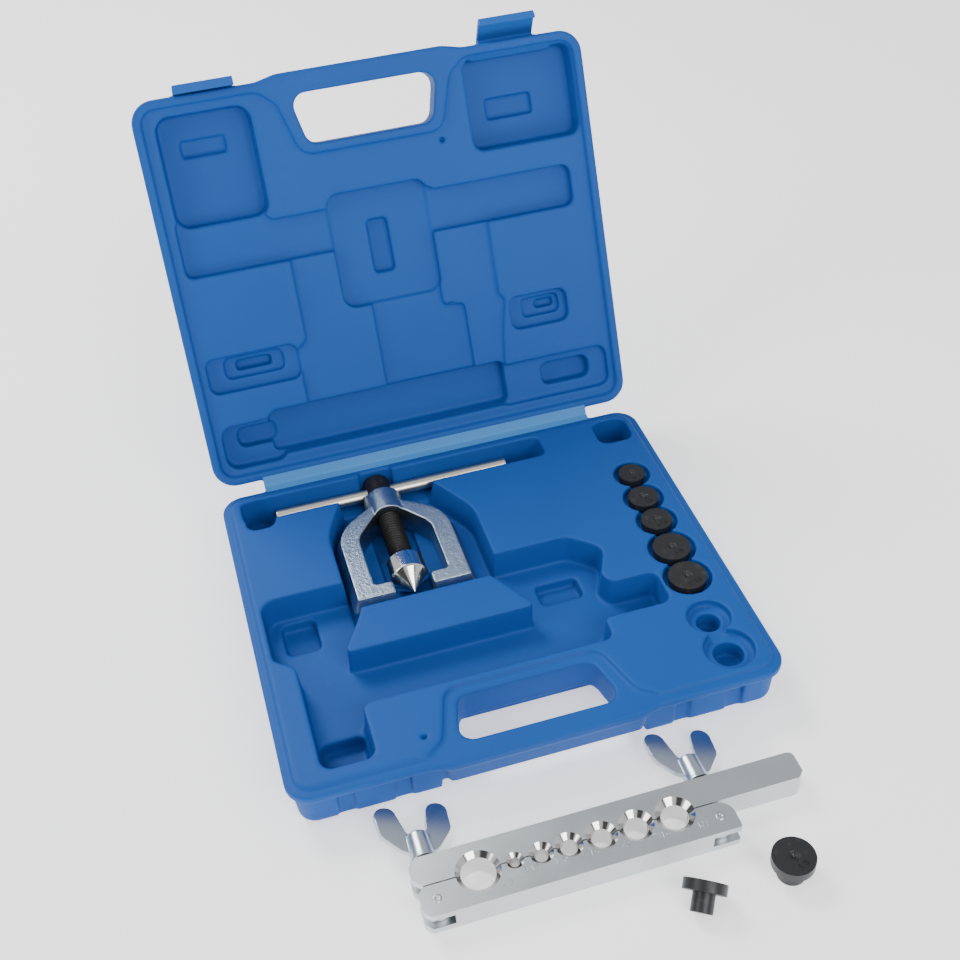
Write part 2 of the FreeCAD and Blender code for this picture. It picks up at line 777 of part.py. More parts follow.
# %% Latches, standing on their own hinge axis: y outward, z toward the tip


def make_latch(label):
    body = new_body(label)
    inner = size["latch_axis_setback"] + size["latch_gap"]
    outer = inner + size["latch_plate"]
    axis_depth = size["latch_axis_depth"] + size["parting_gap"] * HALF
    hook_face = axis_depth + size["lip_height"] + 0.1
    tip = hook_face + size["latch_hook"]
    hook_end = inner - size["latch_hook_reach"]
    foot = -size["latch_barrel"]
    corners = [
        (0, foot, 0), (outer, foot, 2), (outer, tip, 1), (hook_end, tip, 0),
        (hook_end, hook_face, 0), (inner, hook_face, 0), (inner, size["latch_barrel"], 0),
        (0, size["latch_barrel"], 0),
    ]
    plate = new_sketch(body, label + "_plate", "YZ_Plane", (0, 0, 0))
    draw_outline(plate, corners)
    extruded(body, "Pad", plate, size["latch_width"], both_ways=True)
    barrel = new_sketch(body, label + "_barrel", "YZ_Plane", (0, 0, 0))
    draw_circle(barrel, 0, 0, size["latch_barrel"])
    extruded(body, "Pad", barrel, size["bay_width"] - 0.6, both_ways=True)
    stub = new_sketch(body, label + "_stub", "YZ_Plane", (0, 0, 0))
    draw_circle(stub, 0, 0, size["latch_stub"])
    extruded(body, "Pad", stub, size["bay_width"] + 3.6, both_ways=True)
    panel = new_sketch(body, label + "_panel", "XZ_Plane", (0, 0, -outer))
    panel_half = size["latch_width"] * HALF - 2.5
    draw_outline(panel, box_corners(-panel_half, panel_half, 1.5, tip - 3, 0))
    extruded(body, "Pocket", panel, 0.9, reverse=True)
    return body


def place_latch(body, side, open_angle):
    """Seat a latch in the turned lid, opened about its own axis."""
    lean = Rotation(Vector(1, 0, 0), 180 - SIZES["lid_open_angle"])
    axis_in_lid = Vector(
        side * bay_offset.number,
        lid_front.number - SIZES["latch_axis_setback"],
        -SIZES["latch_axis_depth"],
    )
    pivot = lean.multVec(axis_in_lid) + Vector(0, hinge_y.number, hinge_z.number)
    swing = Rotation(Vector(1, 0, 0), -open_angle.number)
    body.Placement = Placement(pivot, lean.multiply(swing))


# %% Yoke: modelled flat, y along the screw from the front of its feet


def make_yoke():
    body = new_body("yoke")
    half = size["yoke_half"]
    half_thickness = size["yoke_thickness"] * HALF
    arch = [
        (-half, 0, 3), (half, 0, 3), (half, size["arch_outer"] - 14, 26),
        (9, size["arch_outer"] + 3, 8), (-9, size["arch_outer"] + 3, 8),
        (-half, size["arch_outer"] - 14, 26),
    ]
    for word, downward in (("upper", False), ("lower", True)):
        sketch = new_sketch(body, f"yoke_{word}", "XY_Plane", (0, 0, 0))
        draw_outline(sketch, arch)
        extruded(body, "Pad", sketch, half_thickness, size["yoke_side_slope"], reverse=downward)

    boss = new_sketch(body, "yoke_boss", "XZ_Plane", (0, 0, -size["boss_end"]))
    draw_circle(boss, 0, 0, size["boss_radius"])
    extruded(body, "Pad", boss, size["boss_end"] - size["arch_inner"])

    window_half = size["yoke_window_half"]
    gap_half = size["foot_gap_half"]
    window = [
        (-gap_half, -4, 0), (gap_half, -4, 0), (gap_half, size["foot_length"], 2),
        (window_half, size["foot_length"], 2), (window_half, size["arch_inner"] - 14, 14),
        (7, size["arch_inner"] + 2, 6), (-7, size["arch_inner"] + 2, 6),
        (-window_half, size["arch_inner"] - 14, 14), (-window_half, size["foot_length"], 2),
        (-gap_half, size["foot_length"], 2),
    ]
    inside = new_sketch(body, "yoke_window", "XY_Plane", (0, 0, 0))
    draw_outline(inside, window)
    extruded(body, "Pocket", inside, size["boss_radius"] * 3, both_ways=True)

    bore = new_sketch(body, "yoke_bore", "XZ_Plane", (0, 0, -size["boss_end"] - 1))
    draw_circle(bore, 0, 0, size["screw_radius"] + size["running_gap"])
    extruded(body, "Pocket", bore, size["boss_end"] - size["arch_inner"] + 12, reverse=True)
    return body


# %% Screw, cone and tee bar, each turned about its own axis


def make_screw():
    nose = size["screw_nose_radius"]
    shank = size["screw_radius"]
    head = size["screw_head_radius"]
    nose_start = cone_socket_floor() + size["ball_radius"] * 2 + 0.1
    shoulder = size["cone_collar_end"] + 0.5
    groove = ring_place()
    groove_end = groove + size["ring_width"]
    groove_radius = nose - 0.9
    edge = size["screw_chamfer"]
    profile = [
        (0, nose_start, 0), (nose, nose_start, 0), (nose, groove - 0.1, 0),
        (groove_radius, groove - 0.1, 0), (groove_radius, groove_end + 0.1, 0),
        (nose, groove_end + 0.1, 0), (nose, shoulder, 0), (shank - edge, shoulder, 0),
        (shank, shoulder + edge, 0), (shank, size["screw_head_start"], 0),
        (head, size["screw_head_start"] + edge, 0), (head, size["screw_head_end"] - edge, 0),
        (head - edge, size["screw_head_end"], 0), (0, size["screw_head_end"], 0),
    ]
    body = turned_body("feed_screw", profile)
    cross = new_sketch(body, "screw_cross_hole", "YZ_Plane", (0, size["cross_hole_at"], 0))
    draw_circle(cross, 0, 0, size["tee_radius"] + size["running_gap"])
    extruded(body, "Pocket", cross, head * 3, both_ways=True)
    return body


def cone_socket_floor():
    return size["cone_tip"] + size["cone_radius"] + 2


def ring_place():
    return size["cone_collar_end"] - 4


def make_cone():
    tip = size["cone_tip"]
    radius = size["cone_radius"]
    collar = size["cone_collar_radius"]
    end = size["cone_collar_end"]
    socket = size["screw_nose_radius"] + size["running_gap"]
    floor = cone_socket_floor()
    groove = ring_place() - 0.1
    groove_end = groove + size["ring_width"] + 0.2
    groove_radius = socket + 0.5
    edge = size["screw_chamfer"]
    profile = [
        (0, tip, 0), (radius, tip + radius, 0), (collar, tip + radius + 2.5, 0),
        (collar, end - edge, 0), (collar - edge, end, 0), (socket, end, 0),
        (socket, groove_end, 0),
        (groove_radius, groove_end, 0), (groove_radius, groove, 0), (socket, groove, 0),
        (socket, floor, 0), (0, floor, 0),
    ]
    return turned_body("flaring_cone", profile)


def make_ball():
    ball = doc.addObject("Part::Sphere", "thrust_ball")
    ball.Label = "thrust_ball"
    set_length(ball, "Radius", size["ball_radius"])
    subparts.append(ball)
    return ball


def make_ring():
    inner = size["screw_nose_radius"] - 0.8
    outer = size["screw_nose_radius"] + size["running_gap"] + 0.4
    start = ring_place()
    profile = [
        (inner, start, 0), (outer, start, 0), (outer, start + size["ring_width"], 0),
        (inner, start + size["ring_width"], 0),
    ]
    return turned_body("cone_retaining_ring", profile)


def make_tee_bar():
    half = size["tee_length"] * HALF
    radius = size["tee_radius"]
    edge = size["small_chamfer"]
    profile = [
        (0, -half, 0), (radius - edge, -half, 0), (radius, edge - half, 0),
        (radius, half - edge, 0), (radius - edge, half, 0), (0, half, 0),
    ]
    return turned_body("tee_bar", profile)


# %% Die bar

# nominal size, bore radius, countersink radius and place along the bar
DIES = [
    ("5_8", 7.94, 10.25, -49.3),
    ("3_16", 2.38, 4.1, -32.7),
    ("1_4", 3.175, 5.5, -20.5),
    ("5_16", 3.97, 6.35, -7.7),
    ("3_8", 4.765, 7.25, 7.5),
    ("7_16", 5.555, 8.15, 23.7),
    ("1_2", 6.35, 9.1, 42.2),
]
die_sizes = []
for name, bore_radius, sink_radius, along in DIES:
    die_sizes.append({
        "name": name,
        "bore": sheet_size(f"die_{name}_bore", bore_radius),
        "sink": sheet_size(f"die_{name}_countersink", sink_radius),
        "along": sheet_size(f"die_{name}_along", along),
    })

split = case_front - size["bar_from_case"]
rear_inner = split + size["split_gap"] * HALF
front_inner = split - size["split_gap"] * HALF
rear_outer = rear_inner + size["bar_rear_width"]
front_outer = front_inner - size["bar_front_width"]
pin_y = front_inner - size["pin_setback"]
slot_low = (size["bar_height"] - size["slot_height"]) * HALF
slot_top = slot_low + size["slot_height"]
no_shift = (0, 0)


def cut_dies(body):
    """Bore and countersink every die hole on the split line."""
    top = size["bar_height"]
    for die in die_sizes:
        bore = die["bore"]
        sink = die["sink"]
        profile = [
            (0, -1, 0), (bore, -1, 0), (bore, top - (sink - bore), 0),
            (sink, top, 0), (sink, top + 1, 0), (0, top + 1, 0),
        ]
        name = f"{body.Name}_die_{die['name']}"
        sketch = new_sketch(body, name, "XZ_Plane", (die["along"], 0, -split))
        draw_outline(sketch, profile)
        turned(body, "Groove", sketch)


def make_bar_rear():
    body = new_body("die_bar_rear")
    left = size["bar_rear_left"]
    right = size["bar_rear_right"]
    cut = size["bar_chamfer"]
    plan = new_sketch(body, "bar_rear_plan", "XY_Plane", (0, 0, 0))
    corners = [
        (left, rear_inner + cut, 0), (left + cut, rear_inner, 0),
        (right - 3, rear_inner, 0), (right, rear_inner + 3, 0),
        (right, rear_outer, 3), (left + cut, rear_outer, 0), (left, rear_outer - cut, 0),
    ]
    draw_outline(plan, corners)
    extruded(body, "Pad", plan, size["bar_height"])
    cut_dies(body)
    room = size["bolt_radius"] + size["slot_room"]
    beyond = 2
    left_slot = box_corners(left - beyond, size["pin_left"] + room, rear_inner - beyond,
                            rear_outer + beyond, 0)
    hollow(body, "bar_rear_left_slot", left_slot, slot_top, slot_low, 0, no_shift)
    window = box_corners(size["pin_right"] - room, size["pin_right"] + room, rear_inner - beyond,
                         rear_outer + beyond, 0)
    hollow(body, "bar_rear_window", window, slot_top, slot_low, 0, no_shift)
    return body


def make_bar_front():
    body = new_body("die_bar_front")
    left = size["bar_front_left"]
    right = size["bar_front_right"]
    plan = new_sketch(body, "bar_front_plan", "XY_Plane", (0, 0, 0))
    corners = [
        (left, front_outer + 3, 0), (left + 3, front_outer, 0), (right - 1, front_outer, 0),
        (right, front_outer + 1, 0), (right, front_inner, size["bar_corner"]),
        (left + 3, front_inner, 0), (left, front_inner - 3, 0),
    ]
    draw_outline(plan, corners)
    extruded(body, "Pad", plan, size["bar_height"])
    cut_dies(body)
    room = size["bolt_eye_radius"] + size["slot_room"]
    beyond = 2
    left_slot = box_corners(left - beyond, size["pin_left"] + room, front_outer - beyond,
                            front_inner + beyond, 0)
    hollow(body, "bar_front_left_slot", left_slot, slot_top, slot_low, 0, no_shift)
    right_slot = box_corners(size["pin_right"] - room, right + beyond, front_outer - beyond,
                             front_inner + beyond, 0)
    hollow(body, "bar_front_right_slot", right_slot, slot_top, slot_low, 0, no_shift)
    for word in ("left", "right"):
        round_hollow(body, f"bar_front_pin_{word}", size[f"pin_{word}"], pin_y,
                     size["pin_radius"] + size["pin_fit"], size["bar_height"] + 1, -1, no_shift)
    return body


def make_pin(label):
    """A riveted pin with a faintly domed top, flush with the bar's underside."""
    radius = size["pin_radius"]
    top = size["bar_height"] + 0.4
    edge = size["small_chamfer"]
    profile = [
        (0, 0.2, 0), (radius, 0.2, 0), (radius, top - edge, 0), (radius - edge, top, 0),
        (0, top, 0),
    ]
    return turned_body(label, profile)


def make_swing_bolt(label):
    """An eye on the pin and a shank along y, centred on z = 0."""
    body = new_body(label)
    eye = new_sketch(body, label + "_eye", "XY_Plane", (0, 0, 0))
    draw_circle(eye, 0, 0, size["bolt_eye_radius"])
    extruded(body, "Pad", eye, size["bolt_eye_thickness"], both_ways=True)
    shank = new_sketch(body, label + "_shank", "XZ_Plane", (0, 0, -size["bolt_length"]))
    draw_circle(shank, 0, 0, size["bolt_radius"])
    extruded(body, "Pad", shank, size["bolt_length"])
    bore = new_sketch(body, label + "_bore", "XY_Plane", (0, 0, 0))
    draw_circle(bore, 0, 0, size["pin_radius"] + size["running_gap"])
    extruded(body, "Pocket", bore, size["bolt_eye_thickness"] * 2, both_ways=True)
    return body


def make_washer(label):
    inner = size["bolt_radius"] + size["running_gap"]
    outer = size["washer_radius"]
    thickness = size["washer_thickness"]
    profile = [(inner, 0, 0), (outer, 0, 0), (outer, thickness, 0), (inner, thickness, 0)]
    return turned_body(label, profile)


def make_wing_nut(label):
    """Hub along z from its seat, with two wings rising beyond it."""
    body = new_body(label)
    hub = size["hub_radius"]
    length = size["hub_length"]
    edge = size["screw_chamfer"]
    profile = [
        (0, 0, 0), (hub, 0, 0), (hub - edge * HALF, length - edge, 0),
        (hub - edge * 1.5, length, 0), (0, length, 0),
    ]
    sketch = new_sketch(body, label + "_hub", "XZ_Plane", (0, 0, 0))
    draw_outline(sketch, profile)
    turned(body, "Revolution", sketch)
    reach = size["wing_half_span"]
    top = size["wing_top"]
    wing = [
        (2, 1.5, 0), (hub + 3, 5, 5), (reach - 1, 14, 5), (reach, top, 4.8),
        (reach - 9.6, top, 4.8), (hub - 1.2, length + 1, 3), (2, length - 1, 0),
    ]
    for side, word in ((1, "right"), (-1, "left")):
        blade = new_sketch(body, f"{label}_{word}_wing", "XZ_Plane", (0, 0, 0))
        draw_outline(blade, [(measured(x) * side, z, radius) for x, z, radius in wing])
        extruded(body, "Pad", blade, size["wing_thickness"], both_ways=True)
    bore = new_sketch(body, label + "_bore", "XY_Plane", (0, 0, -1))
    draw_circle(bore, 0, 0, size["bolt_radius"] + size["running_gap"])
    extruded(body, "Pocket", bore, length + 4, reverse=True)
    return body


# %% Adapters: modelled stem down, z = 0 at the stem's end


def make_adapter(adapter):
    stem = adapter["stem"]
    flange = adapter["flange"]
    length = size["stem_length"]
    top = length + size["flange_thickness"]
    dimple = size["dimple_radius"]
    edge = size["small_chamfer"]
    profile = [
        (0, 0, 0), (stem, 0, 0), (stem, length, 0), (flange, length, 0),
        (flange, top - edge, 0), (flange - edge, top, 0), (dimple, top, 0),
        (0, top - dimple, 0),
    ]
    return turned_body(adapter["name"], profile)


# %% Build the kit

make_case_base()
lid = make_case_lid()
place(lid, 0, hinge_y, hinge_z, (1, 0, 0), 180 - size["lid_open_angle"])
place_latch(make_latch("latch_left"), -1, size["latch_left_open"])
place_latch(make_latch("latch_right"), 1, size["latch_right_open"])

tool_x = axis_x + case_left
tool_y = feet_y + case_front
along_y = ((1, 0, 0), -90)
place(make_yoke(), tool_x, tool_y, axis_z)
place(make_screw(), tool_x, tool_y, axis_z, *along_y)
place(make_cone(), tool_x, tool_y, axis_z, *along_y)
place(make_ring(), tool_x, tool_y, axis_z, *along_y)
ball_y = tool_y + cone_socket_floor() + size["ball_radius"] + 0.05
place(make_ball(), tool_x, ball_y, axis_z)
place(make_tee_bar(), tool_x + size["tee_offset"], tee_y + case_front, axis_z, (0, 1, 0), 90)

make_bar_rear()
make_bar_front()
bolt_z = size["bar_height"] * HALF
washer_y = rear_outer + size["nut_standoff"]
nut_y = washer_y + size["washer_thickness"] + 0.05
lean_wings = Rotation(Vector(1, 0, 0), -90).multiply(Rotation(Vector(0, 0, 1), SIZES["wing_turn"]))
for word in ("left", "right"):
    pin_x = size[f"pin_{word}"]
    place(make_pin(f"pivot_pin_{word}"), pin_x, pin_y, 0)
    place(make_swing_bolt(f"swing_bolt_{word}"), pin_x, pin_y, bolt_z)
    place(make_washer(f"washer_{word}"), pin_x, washer_y, bolt_z, *along_y)
    nut = make_wing_nut(f"wing_nut_{word}")
    turn_axis = tuple(lean_wings.Axis)
    place(nut, pin_x, nut_y, bolt_z, turn_axis, math.degrees(lean_wings.Angle))

# The two adapters that stand out of their seats: place across, and out from the case.
loose = {
    "adapter_1_2": (36.4, 93.7),
    "adapter_5_8": (82.3, 85.9),
}
stem_floor = plateau - size["seat_depth"] + size["seat_gap"] - size["stem_length"]
for adapter in adapter_sizes:
    piece = make_adapter(adapter)
    if adapter["name"] not in loose:
        place(piece, adapter["seat_x"] + case_left, adapter["seat_y"] + case_front, stem_floor)
        continue
    loose_x, out = loose[adapter["name"]]
    loose_y = case_front - out
    if adapter["name"] == "adapter_5_8":
        place(piece, loose_x, loose_y, 0)
        continue
    # The half-inch adapter lies on the rims of its stem and its flange.
    rise = adapter["flange"].number - adapter["stem"].number
    lean = math.degrees(math.atan(rise / SIZES["stem_length"]))
    heading = math.radians(58.5)
    tilt_axis = (-math.sin(heading), math.cos(heading), 0)
    stem_height = adapter["stem"].number * math.cos(math.radians(lean))
    place(piece, loose_x, loose_y, stem_height, tilt_axis, 90 - lean)

doc.recompute()

# %% Check every object, then write each sub-part

for item in doc.Objects:
    if "Invalid" in item.State or "Error" in item.State:
        raise RuntimeError(f"{item.Label} failed: {item.State}")

for body in subparts:
    if body.Shape.isNull() or not body.Shape.isValid():
        raise RuntimeError(f"{body.Label} has no valid shape")
    if body.TypeId != "PartDesign::Body":
        continue
    volume = 0.0
    for feature in body.Group:
        if feature.TypeId not in ("PartDesign::Pad", "PartDesign::Pocket", "PartDesign::Groove"):
            if feature.TypeId in ("PartDesign::Revolution", "PartDesign::Fillet"):
                volume = feature.Shape.Volume
            continue
        grown = feature.Shape.Volume - volume
        if abs(grown) < 0.05 or (grown > 0) != (feature.TypeId == "PartDesign::Pad"):
            raise RuntimeError(f"{feature.Label} changed nothing: {grown:.3f} mm3")
        volume = feature.Shape.Volume

os.makedirs("parts", exist_ok=True)
for body in subparts:
    body.Shape.exportStep(os.path.join("parts", body.Label + ".step"))
    box = body.Shape.BoundBox
    print(f"{body.Label:22s} solids {len(body.Shape.Solids)} volume {body.Shape.Volume:10.1f}"
          f"  x {box.XMin:7.1f} {box.XMax:7.1f}  y {box.YMin:7.1f} {box.YMax:7.1f}"
          f"  z {box.ZMin:6.2f} {box.ZMax:6.2f}")
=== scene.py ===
import json
import math

import bmesh
import bpy
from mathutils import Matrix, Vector


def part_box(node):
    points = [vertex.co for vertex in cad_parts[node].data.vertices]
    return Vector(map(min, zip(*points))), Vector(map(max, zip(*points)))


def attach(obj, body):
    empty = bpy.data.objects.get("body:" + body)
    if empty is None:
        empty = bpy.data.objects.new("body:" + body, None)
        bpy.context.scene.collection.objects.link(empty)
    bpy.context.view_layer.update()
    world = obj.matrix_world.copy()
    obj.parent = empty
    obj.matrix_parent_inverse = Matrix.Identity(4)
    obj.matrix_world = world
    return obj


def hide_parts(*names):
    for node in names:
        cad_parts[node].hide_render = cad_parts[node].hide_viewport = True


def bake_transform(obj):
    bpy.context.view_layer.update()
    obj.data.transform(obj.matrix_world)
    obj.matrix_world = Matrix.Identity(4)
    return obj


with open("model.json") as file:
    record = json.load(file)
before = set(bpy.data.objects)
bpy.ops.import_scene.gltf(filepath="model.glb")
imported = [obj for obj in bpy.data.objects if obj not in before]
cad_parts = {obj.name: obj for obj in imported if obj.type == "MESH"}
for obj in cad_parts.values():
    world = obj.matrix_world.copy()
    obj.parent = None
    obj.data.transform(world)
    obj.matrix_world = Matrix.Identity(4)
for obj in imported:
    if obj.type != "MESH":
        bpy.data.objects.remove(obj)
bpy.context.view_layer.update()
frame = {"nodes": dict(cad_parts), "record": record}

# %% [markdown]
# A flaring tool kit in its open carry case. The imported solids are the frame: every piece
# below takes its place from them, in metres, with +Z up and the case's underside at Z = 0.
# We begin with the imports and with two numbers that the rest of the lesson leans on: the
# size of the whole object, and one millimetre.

MM = 0.001

# %% [markdown]
# The camera looks down into the open case from the front left, from about three quarters of
# a metre away. A 50 mm lens on a 36 mm sensor keeps the case's far corners nearly parallel.
# Placing it first lets every later piece be judged in the same view.

# %% Camera
bpy.ops.object.camera_add(location=(-116.04 * MM, -467.6 * MM, 522.4 * MM))
camera = bpy.context.object
camera.name = "kit_camera"
camera.rotation_euler = (math.radians(48.30), math.radians(2.714), math.radians(-16.55))
camera.data.lens = 50
camera.data.sensor_width = 36
camera.data.clip_start = 0.01
bpy.context.scene.camera = camera
print("camera at", tuple(camera.location))

# %% [markdown]
# The studio is a white floor and soft light. A large lamp behind and to the left gives the
# metal its long highlights, a wide one in front keeps the walls of the case readable, and a
# weaker one from the left draws the edges of the lid.

# %% Studio
kit_middle = Vector((0, 0, 0.05))


def soft_lamp(name, place, width, power):
    bpy.ops.object.light_add(type="AREA", location=place)
    lamp = bpy.context.object
    lamp.name = name
    lamp.data.size = width
    lamp.data.energy = power
    direction = kit_middle - Vector(place)
    lamp.rotation_euler = direction.to_track_quat("-Z", "Y").to_euler()
    return lamp


soft_lamp("back_lamp", (-0.5, 0.9, 1.2), width=0.6, power=17)
soft_lamp("front_lamp", (0.4, -1.3, 1.0), width=0.9, power=17)
soft_lamp("left_lamp", (-1.2, -0.2, 0.9), width=0.7, power=6)

world = bpy.data.worlds.new("studio")
bpy.context.scene.world = world
world.use_nodes = True
sky = world.node_tree.nodes["Background"]
sky.inputs["Strength"].default_value = 1.0
print("lamps ready")

# %% [markdown]
# Shader maths reads best as plain expressions. `Flow` wraps one socket; adding, scaling or
# comparing flows adds the Math nodes. Its `node` method makes any other node, so a material
# is a few lines from texture to surface.

# %% Shader helper
class Flow:
    """A value on its way through a material."""

    def __init__(self, material, socket):
        self.material = material
        self.socket = socket

    def node(self, kind, settings=None, **values):
        return make_node(self.material, kind, settings, **values)

    def maths(self, operation, first, second=None):
        values = {"0": first}
        if second is not None:
            values["1"] = second
        return self.node("ShaderNodeMath", {"operation": operation}, **values).out()

    def __add__(self, other):
        return self.maths("ADD", self, other)

    def __sub__(self, other):
        return self.maths("SUBTRACT", self, other)

    def __mul__(self, other):
        return self.maths("MULTIPLY", self, other)

    def __rsub__(self, other):
        return self.maths("SUBTRACT", other, self)

    def __radd__(self, other):
        return self + other

    def __rmul__(self, other):
        return self * other

    def above(self, edge, soft):
        """0 below the edge, 1 above it, with a soft step between."""
        return self.node("ShaderNodeMapRange", {"interpolation_type": "SMOOTHSTEP"},
                         Value=self, **{"From Min": edge - soft, "From Max": edge + soft}).out()


class Made:
    """A node that was added, with its outputs as flows."""

    def __init__(self, material, node):
        self.material = material
        self.made = node

    def out(self, name=0):
        return Flow(self.material, self.made.outputs[name])


def make_node(material, kind, settings=None, **values):
    """Add a node, set it, then fill its sockets with numbers, colours or flows."""
    node = material.node_tree.nodes.new(kind)
    for name, value in (settings or {}).items():
        setattr(node, name, value)
    for name, value in values.items():
        socket = node.inputs[int(name) if name.isdigit() else name]
        if isinstance(value, Flow):
            material.node_tree.links.new(value.socket, socket)
        else:
            socket.default_value = value
    return Made(material, node)


def new_material(name, **surface):
    """A material with one Principled surface; varying inputs are joined later."""
    material = bpy.data.materials.new(name)
    material.use_nodes = True
    shader = material.node_tree.nodes["Principled BSDF"]
    for socket, value in surface.items():
        shader.inputs[socket.replace("_", " ")].default_value = value
    place = make_node(material, "ShaderNodeTexCoord").out("Object")
    return material, shader, place


def join(material, shader, **flows):
    for socket, flow in flows.items():
        material.node_tree.links.new(flow.socket, shader.inputs[socket.replace("_", " ")])


def noise(place, scale, detail=3.0, roughness=0.5):
    return place.node("ShaderNodeTexNoise", None, Vector=place, Scale=scale,
                      Detail=detail, Roughness=roughness).out("Fac")


def blend_colours(factor, low, high):
    mixed = factor.node("ShaderNodeMix", {"data_type": "RGBA"}, Factor=factor, A=low, B=high)
    return mixed.out("Result")


def bump(height, strength, distance):
    return height.node("ShaderNodeBump", None, Height=height, Strength=strength,
                       Distance=distance).out("Normal")


print("shader helper ready")

# %% [markdown]
# The surroundings are a pale room with soft dark bands standing above the horizon, as black
# cards stand round a studio table. Polished steel shows only what it reflects, so the bands
# are what draws the bright and dark fans in the countersinks.

# %% Surroundings
direction = make_node(world, "ShaderNodeTexCoord").out("Generated")
parts = direction.node("ShaderNodeSeparateXYZ", None, Vector=direction)
around = direction.maths("ARCTAN2", parts.out("Y"), parts.out("X"))
band_count = 5.0
band_start = 0.6
pale = 0.86
bands = direction.maths("SINE", around * band_count + band_start).above(0.1, 0.45)
raised = parts.out("Z").above(0.22, 0.10)
zenith = parts.out("Z").above(0.82, 0.12)
brightness = pale - raised * 0.12 - bands * raised * (1 - zenith) * 0.66
grey = brightness.node("ShaderNodeCombineColor", None, Red=brightness, Green=brightness * 1.01,
                       Blue=brightness * 1.03).out("Color")
world.node_tree.links.new(grey.socket, sky.inputs["Color"])
print("surroundings ready")

# %% [markdown]
# The floor is a sheet of white studio paper, larger than anything that the camera sees. A
# faint noise in its roughness is all the texture that paper has at this distance. A little
# light of its own stands for the lamp that a studio puts below a translucent table.

# %% Floor
bpy.ops.mesh.primitive_plane_add(size=60)
floor = bpy.context.object
floor.name = "studio_floor"
paper, shader, place = new_material("white_paper", Base_Color=(0.95, 0.95, 0.95, 1),
                                    Emission_Color=(1, 1, 1, 1), Emission_Strength=0.80)
join(paper, shader, Roughness=0.85 + noise(place, 40.0) * 0.1)
floor.data.materials.append(paper)
print("floor", paper.name)

# %% [markdown]
# The case is blow-moulded polyethylene: one blue right through, a fine pebble grain from the
# mould, and a soft satin sheen. The grain is a small noise in the bump, a second and larger
# noise shifts the colour a little, as thick and thin walls do.

# %% Case plastic
def case_plastic(name, deep, light):
    """Blue plastic that wanders between two shades, with the mould's pebble grain."""
    material, shader, place = new_material(name, IOR=1.45, Specular_IOR_Level=0.22)
    thickness = noise(place, 14.0, 2.0)
    grain = noise(place, 1500.0, 4.0, 0.6)
    pebble = noise(place, 420.0, 3.0)
    join(material, shader,
         Base_Color=blend_colours(thickness, deep, light),
         Roughness=0.46 + pebble * 0.16,
         Normal=bump(grain * 0.6 + pebble * 0.8, 0.35, 0.00012))
    return material


case_blue = case_plastic("case_blue", (0.007, 0.072, 0.315, 1), (0.009, 0.086, 0.355, 1))
web_blue = case_plastic("web_blue", (0.055, 0.230, 0.560, 1), (0.080, 0.290, 0.620, 1))
# The latches get the case blue made lighter: painted sheen, for the light that their glossy tops
# catch.
latch_blue = case_plastic("latch_blue", (0.010, 0.090, 0.370, 1), (0.016, 0.115, 0.430, 1))
print("plastics", case_blue.name, web_blue.name, latch_blue.name)

# %% [markdown]
# Cast and rolled steel under bright zinc is not a mirror. The castings keep the grain of
# their sand, so the yoke gets a coarse bump, while the bar is smoother with faint lines along
# its length. Both vary in roughness, because zinc clouds where it was handled.

# %% Zinc plate
def zinc_plate(name, grain_scale, grain_depth, colour):
    """Bright zinc over a grain of its own scale and depth, clouded by handling."""
    material, shader, place = new_material(name, Metallic=1.0)
    grain = noise(place, grain_scale, 5.0, 0.65)
    cloud = noise(place, 60.0, 3.0)
    dark = tuple(channel * 0.80 for channel in colour[:3]) + (1,)
    join(material, shader,
         Base_Color=blend_colours(cloud * 0.5 + grain * 0.5, dark, colour),
         Roughness=0.20 + cloud * 0.14 + grain * 0.10,
         Normal=bump(grain, 0.5, grain_depth))
    return material


cast_zinc = zinc_plate("cast_zinc", 520.0, 0.00060, (0.42, 0.51, 0.57, 1))
bar_zinc = zinc_plate("bar_zinc", 1300.0, 0.00012, (0.66, 0.70, 0.72, 1))
nut_zinc = zinc_plate("nut_zinc", 700.0, 0.00010, (0.58, 0.64, 0.70, 1))
print("zinc plates", cast_zinc.name, bar_zinc.name, nut_zinc.name)

# %% [markdown]
# The cone and the countersinks are ground and polished, the bores are reamed, and the tee bar
# is drawn steel that has warmed a little in store. Fine lines in the roughness are enough.

# %% Bright steels
def bright_steel(name, colour, roughness, line_scale):
    """Bare steel with fine lines, whose direction the three scales give."""
    material, shader, place = new_material(name, Metallic=1.0)
    stretch = place.node("ShaderNodeMapping", None, Vector=place, Scale=line_scale).out()
    lines = noise(stretch, 1.0, 4.0, 0.7)
    dull = tuple(channel * 0.86 for channel in colour[:3]) + (1,)
    join(material, shader,
         Base_Color=blend_colours(lines, dull, colour),
         Roughness=roughness + lines * 0.10,
         Normal=bump(lines, 0.15, 0.00004))
    return material


polished = bright_steel("polished_steel", (0.80, 0.79, 0.77, 1), 0.06, (300, 2500, 300))
drawn = bright_steel("drawn_steel", (0.78, 0.72, 0.60, 1), 0.28, (60, 1800, 1800))
bored = bright_steel("bored_steel", (0.74, 0.74, 0.74, 1), 0.16, (300, 300, 3000))
print("steels", polished.name, drawn.name, bored.name)

# %% [markdown]
# Black oxide is a thin, oily skin: nearly black, with a low sheen and a little bare steel
# where edges rub. A fine noise in the roughness keeps it from looking like paint.

# %% Black oxide
def black_oxide(name, colour, roughness):
    """Black oxide with small rubbed patches."""
    material, shader, place = new_material(name, Metallic=0.25)
    wear = noise(place, 260.0, 4.0)
    fine = noise(place, 1800.0, 3.0)
    rubbed = wear.above(0.66, 0.10)
    join(material, shader,
         Base_Color=blend_colours(rubbed * 0.35, colour, (0.09, 0.085, 0.08, 1)),
         Roughness=roughness + fine * 0.18,
         Normal=bump(fine, 0.3, 0.00005))
    return material


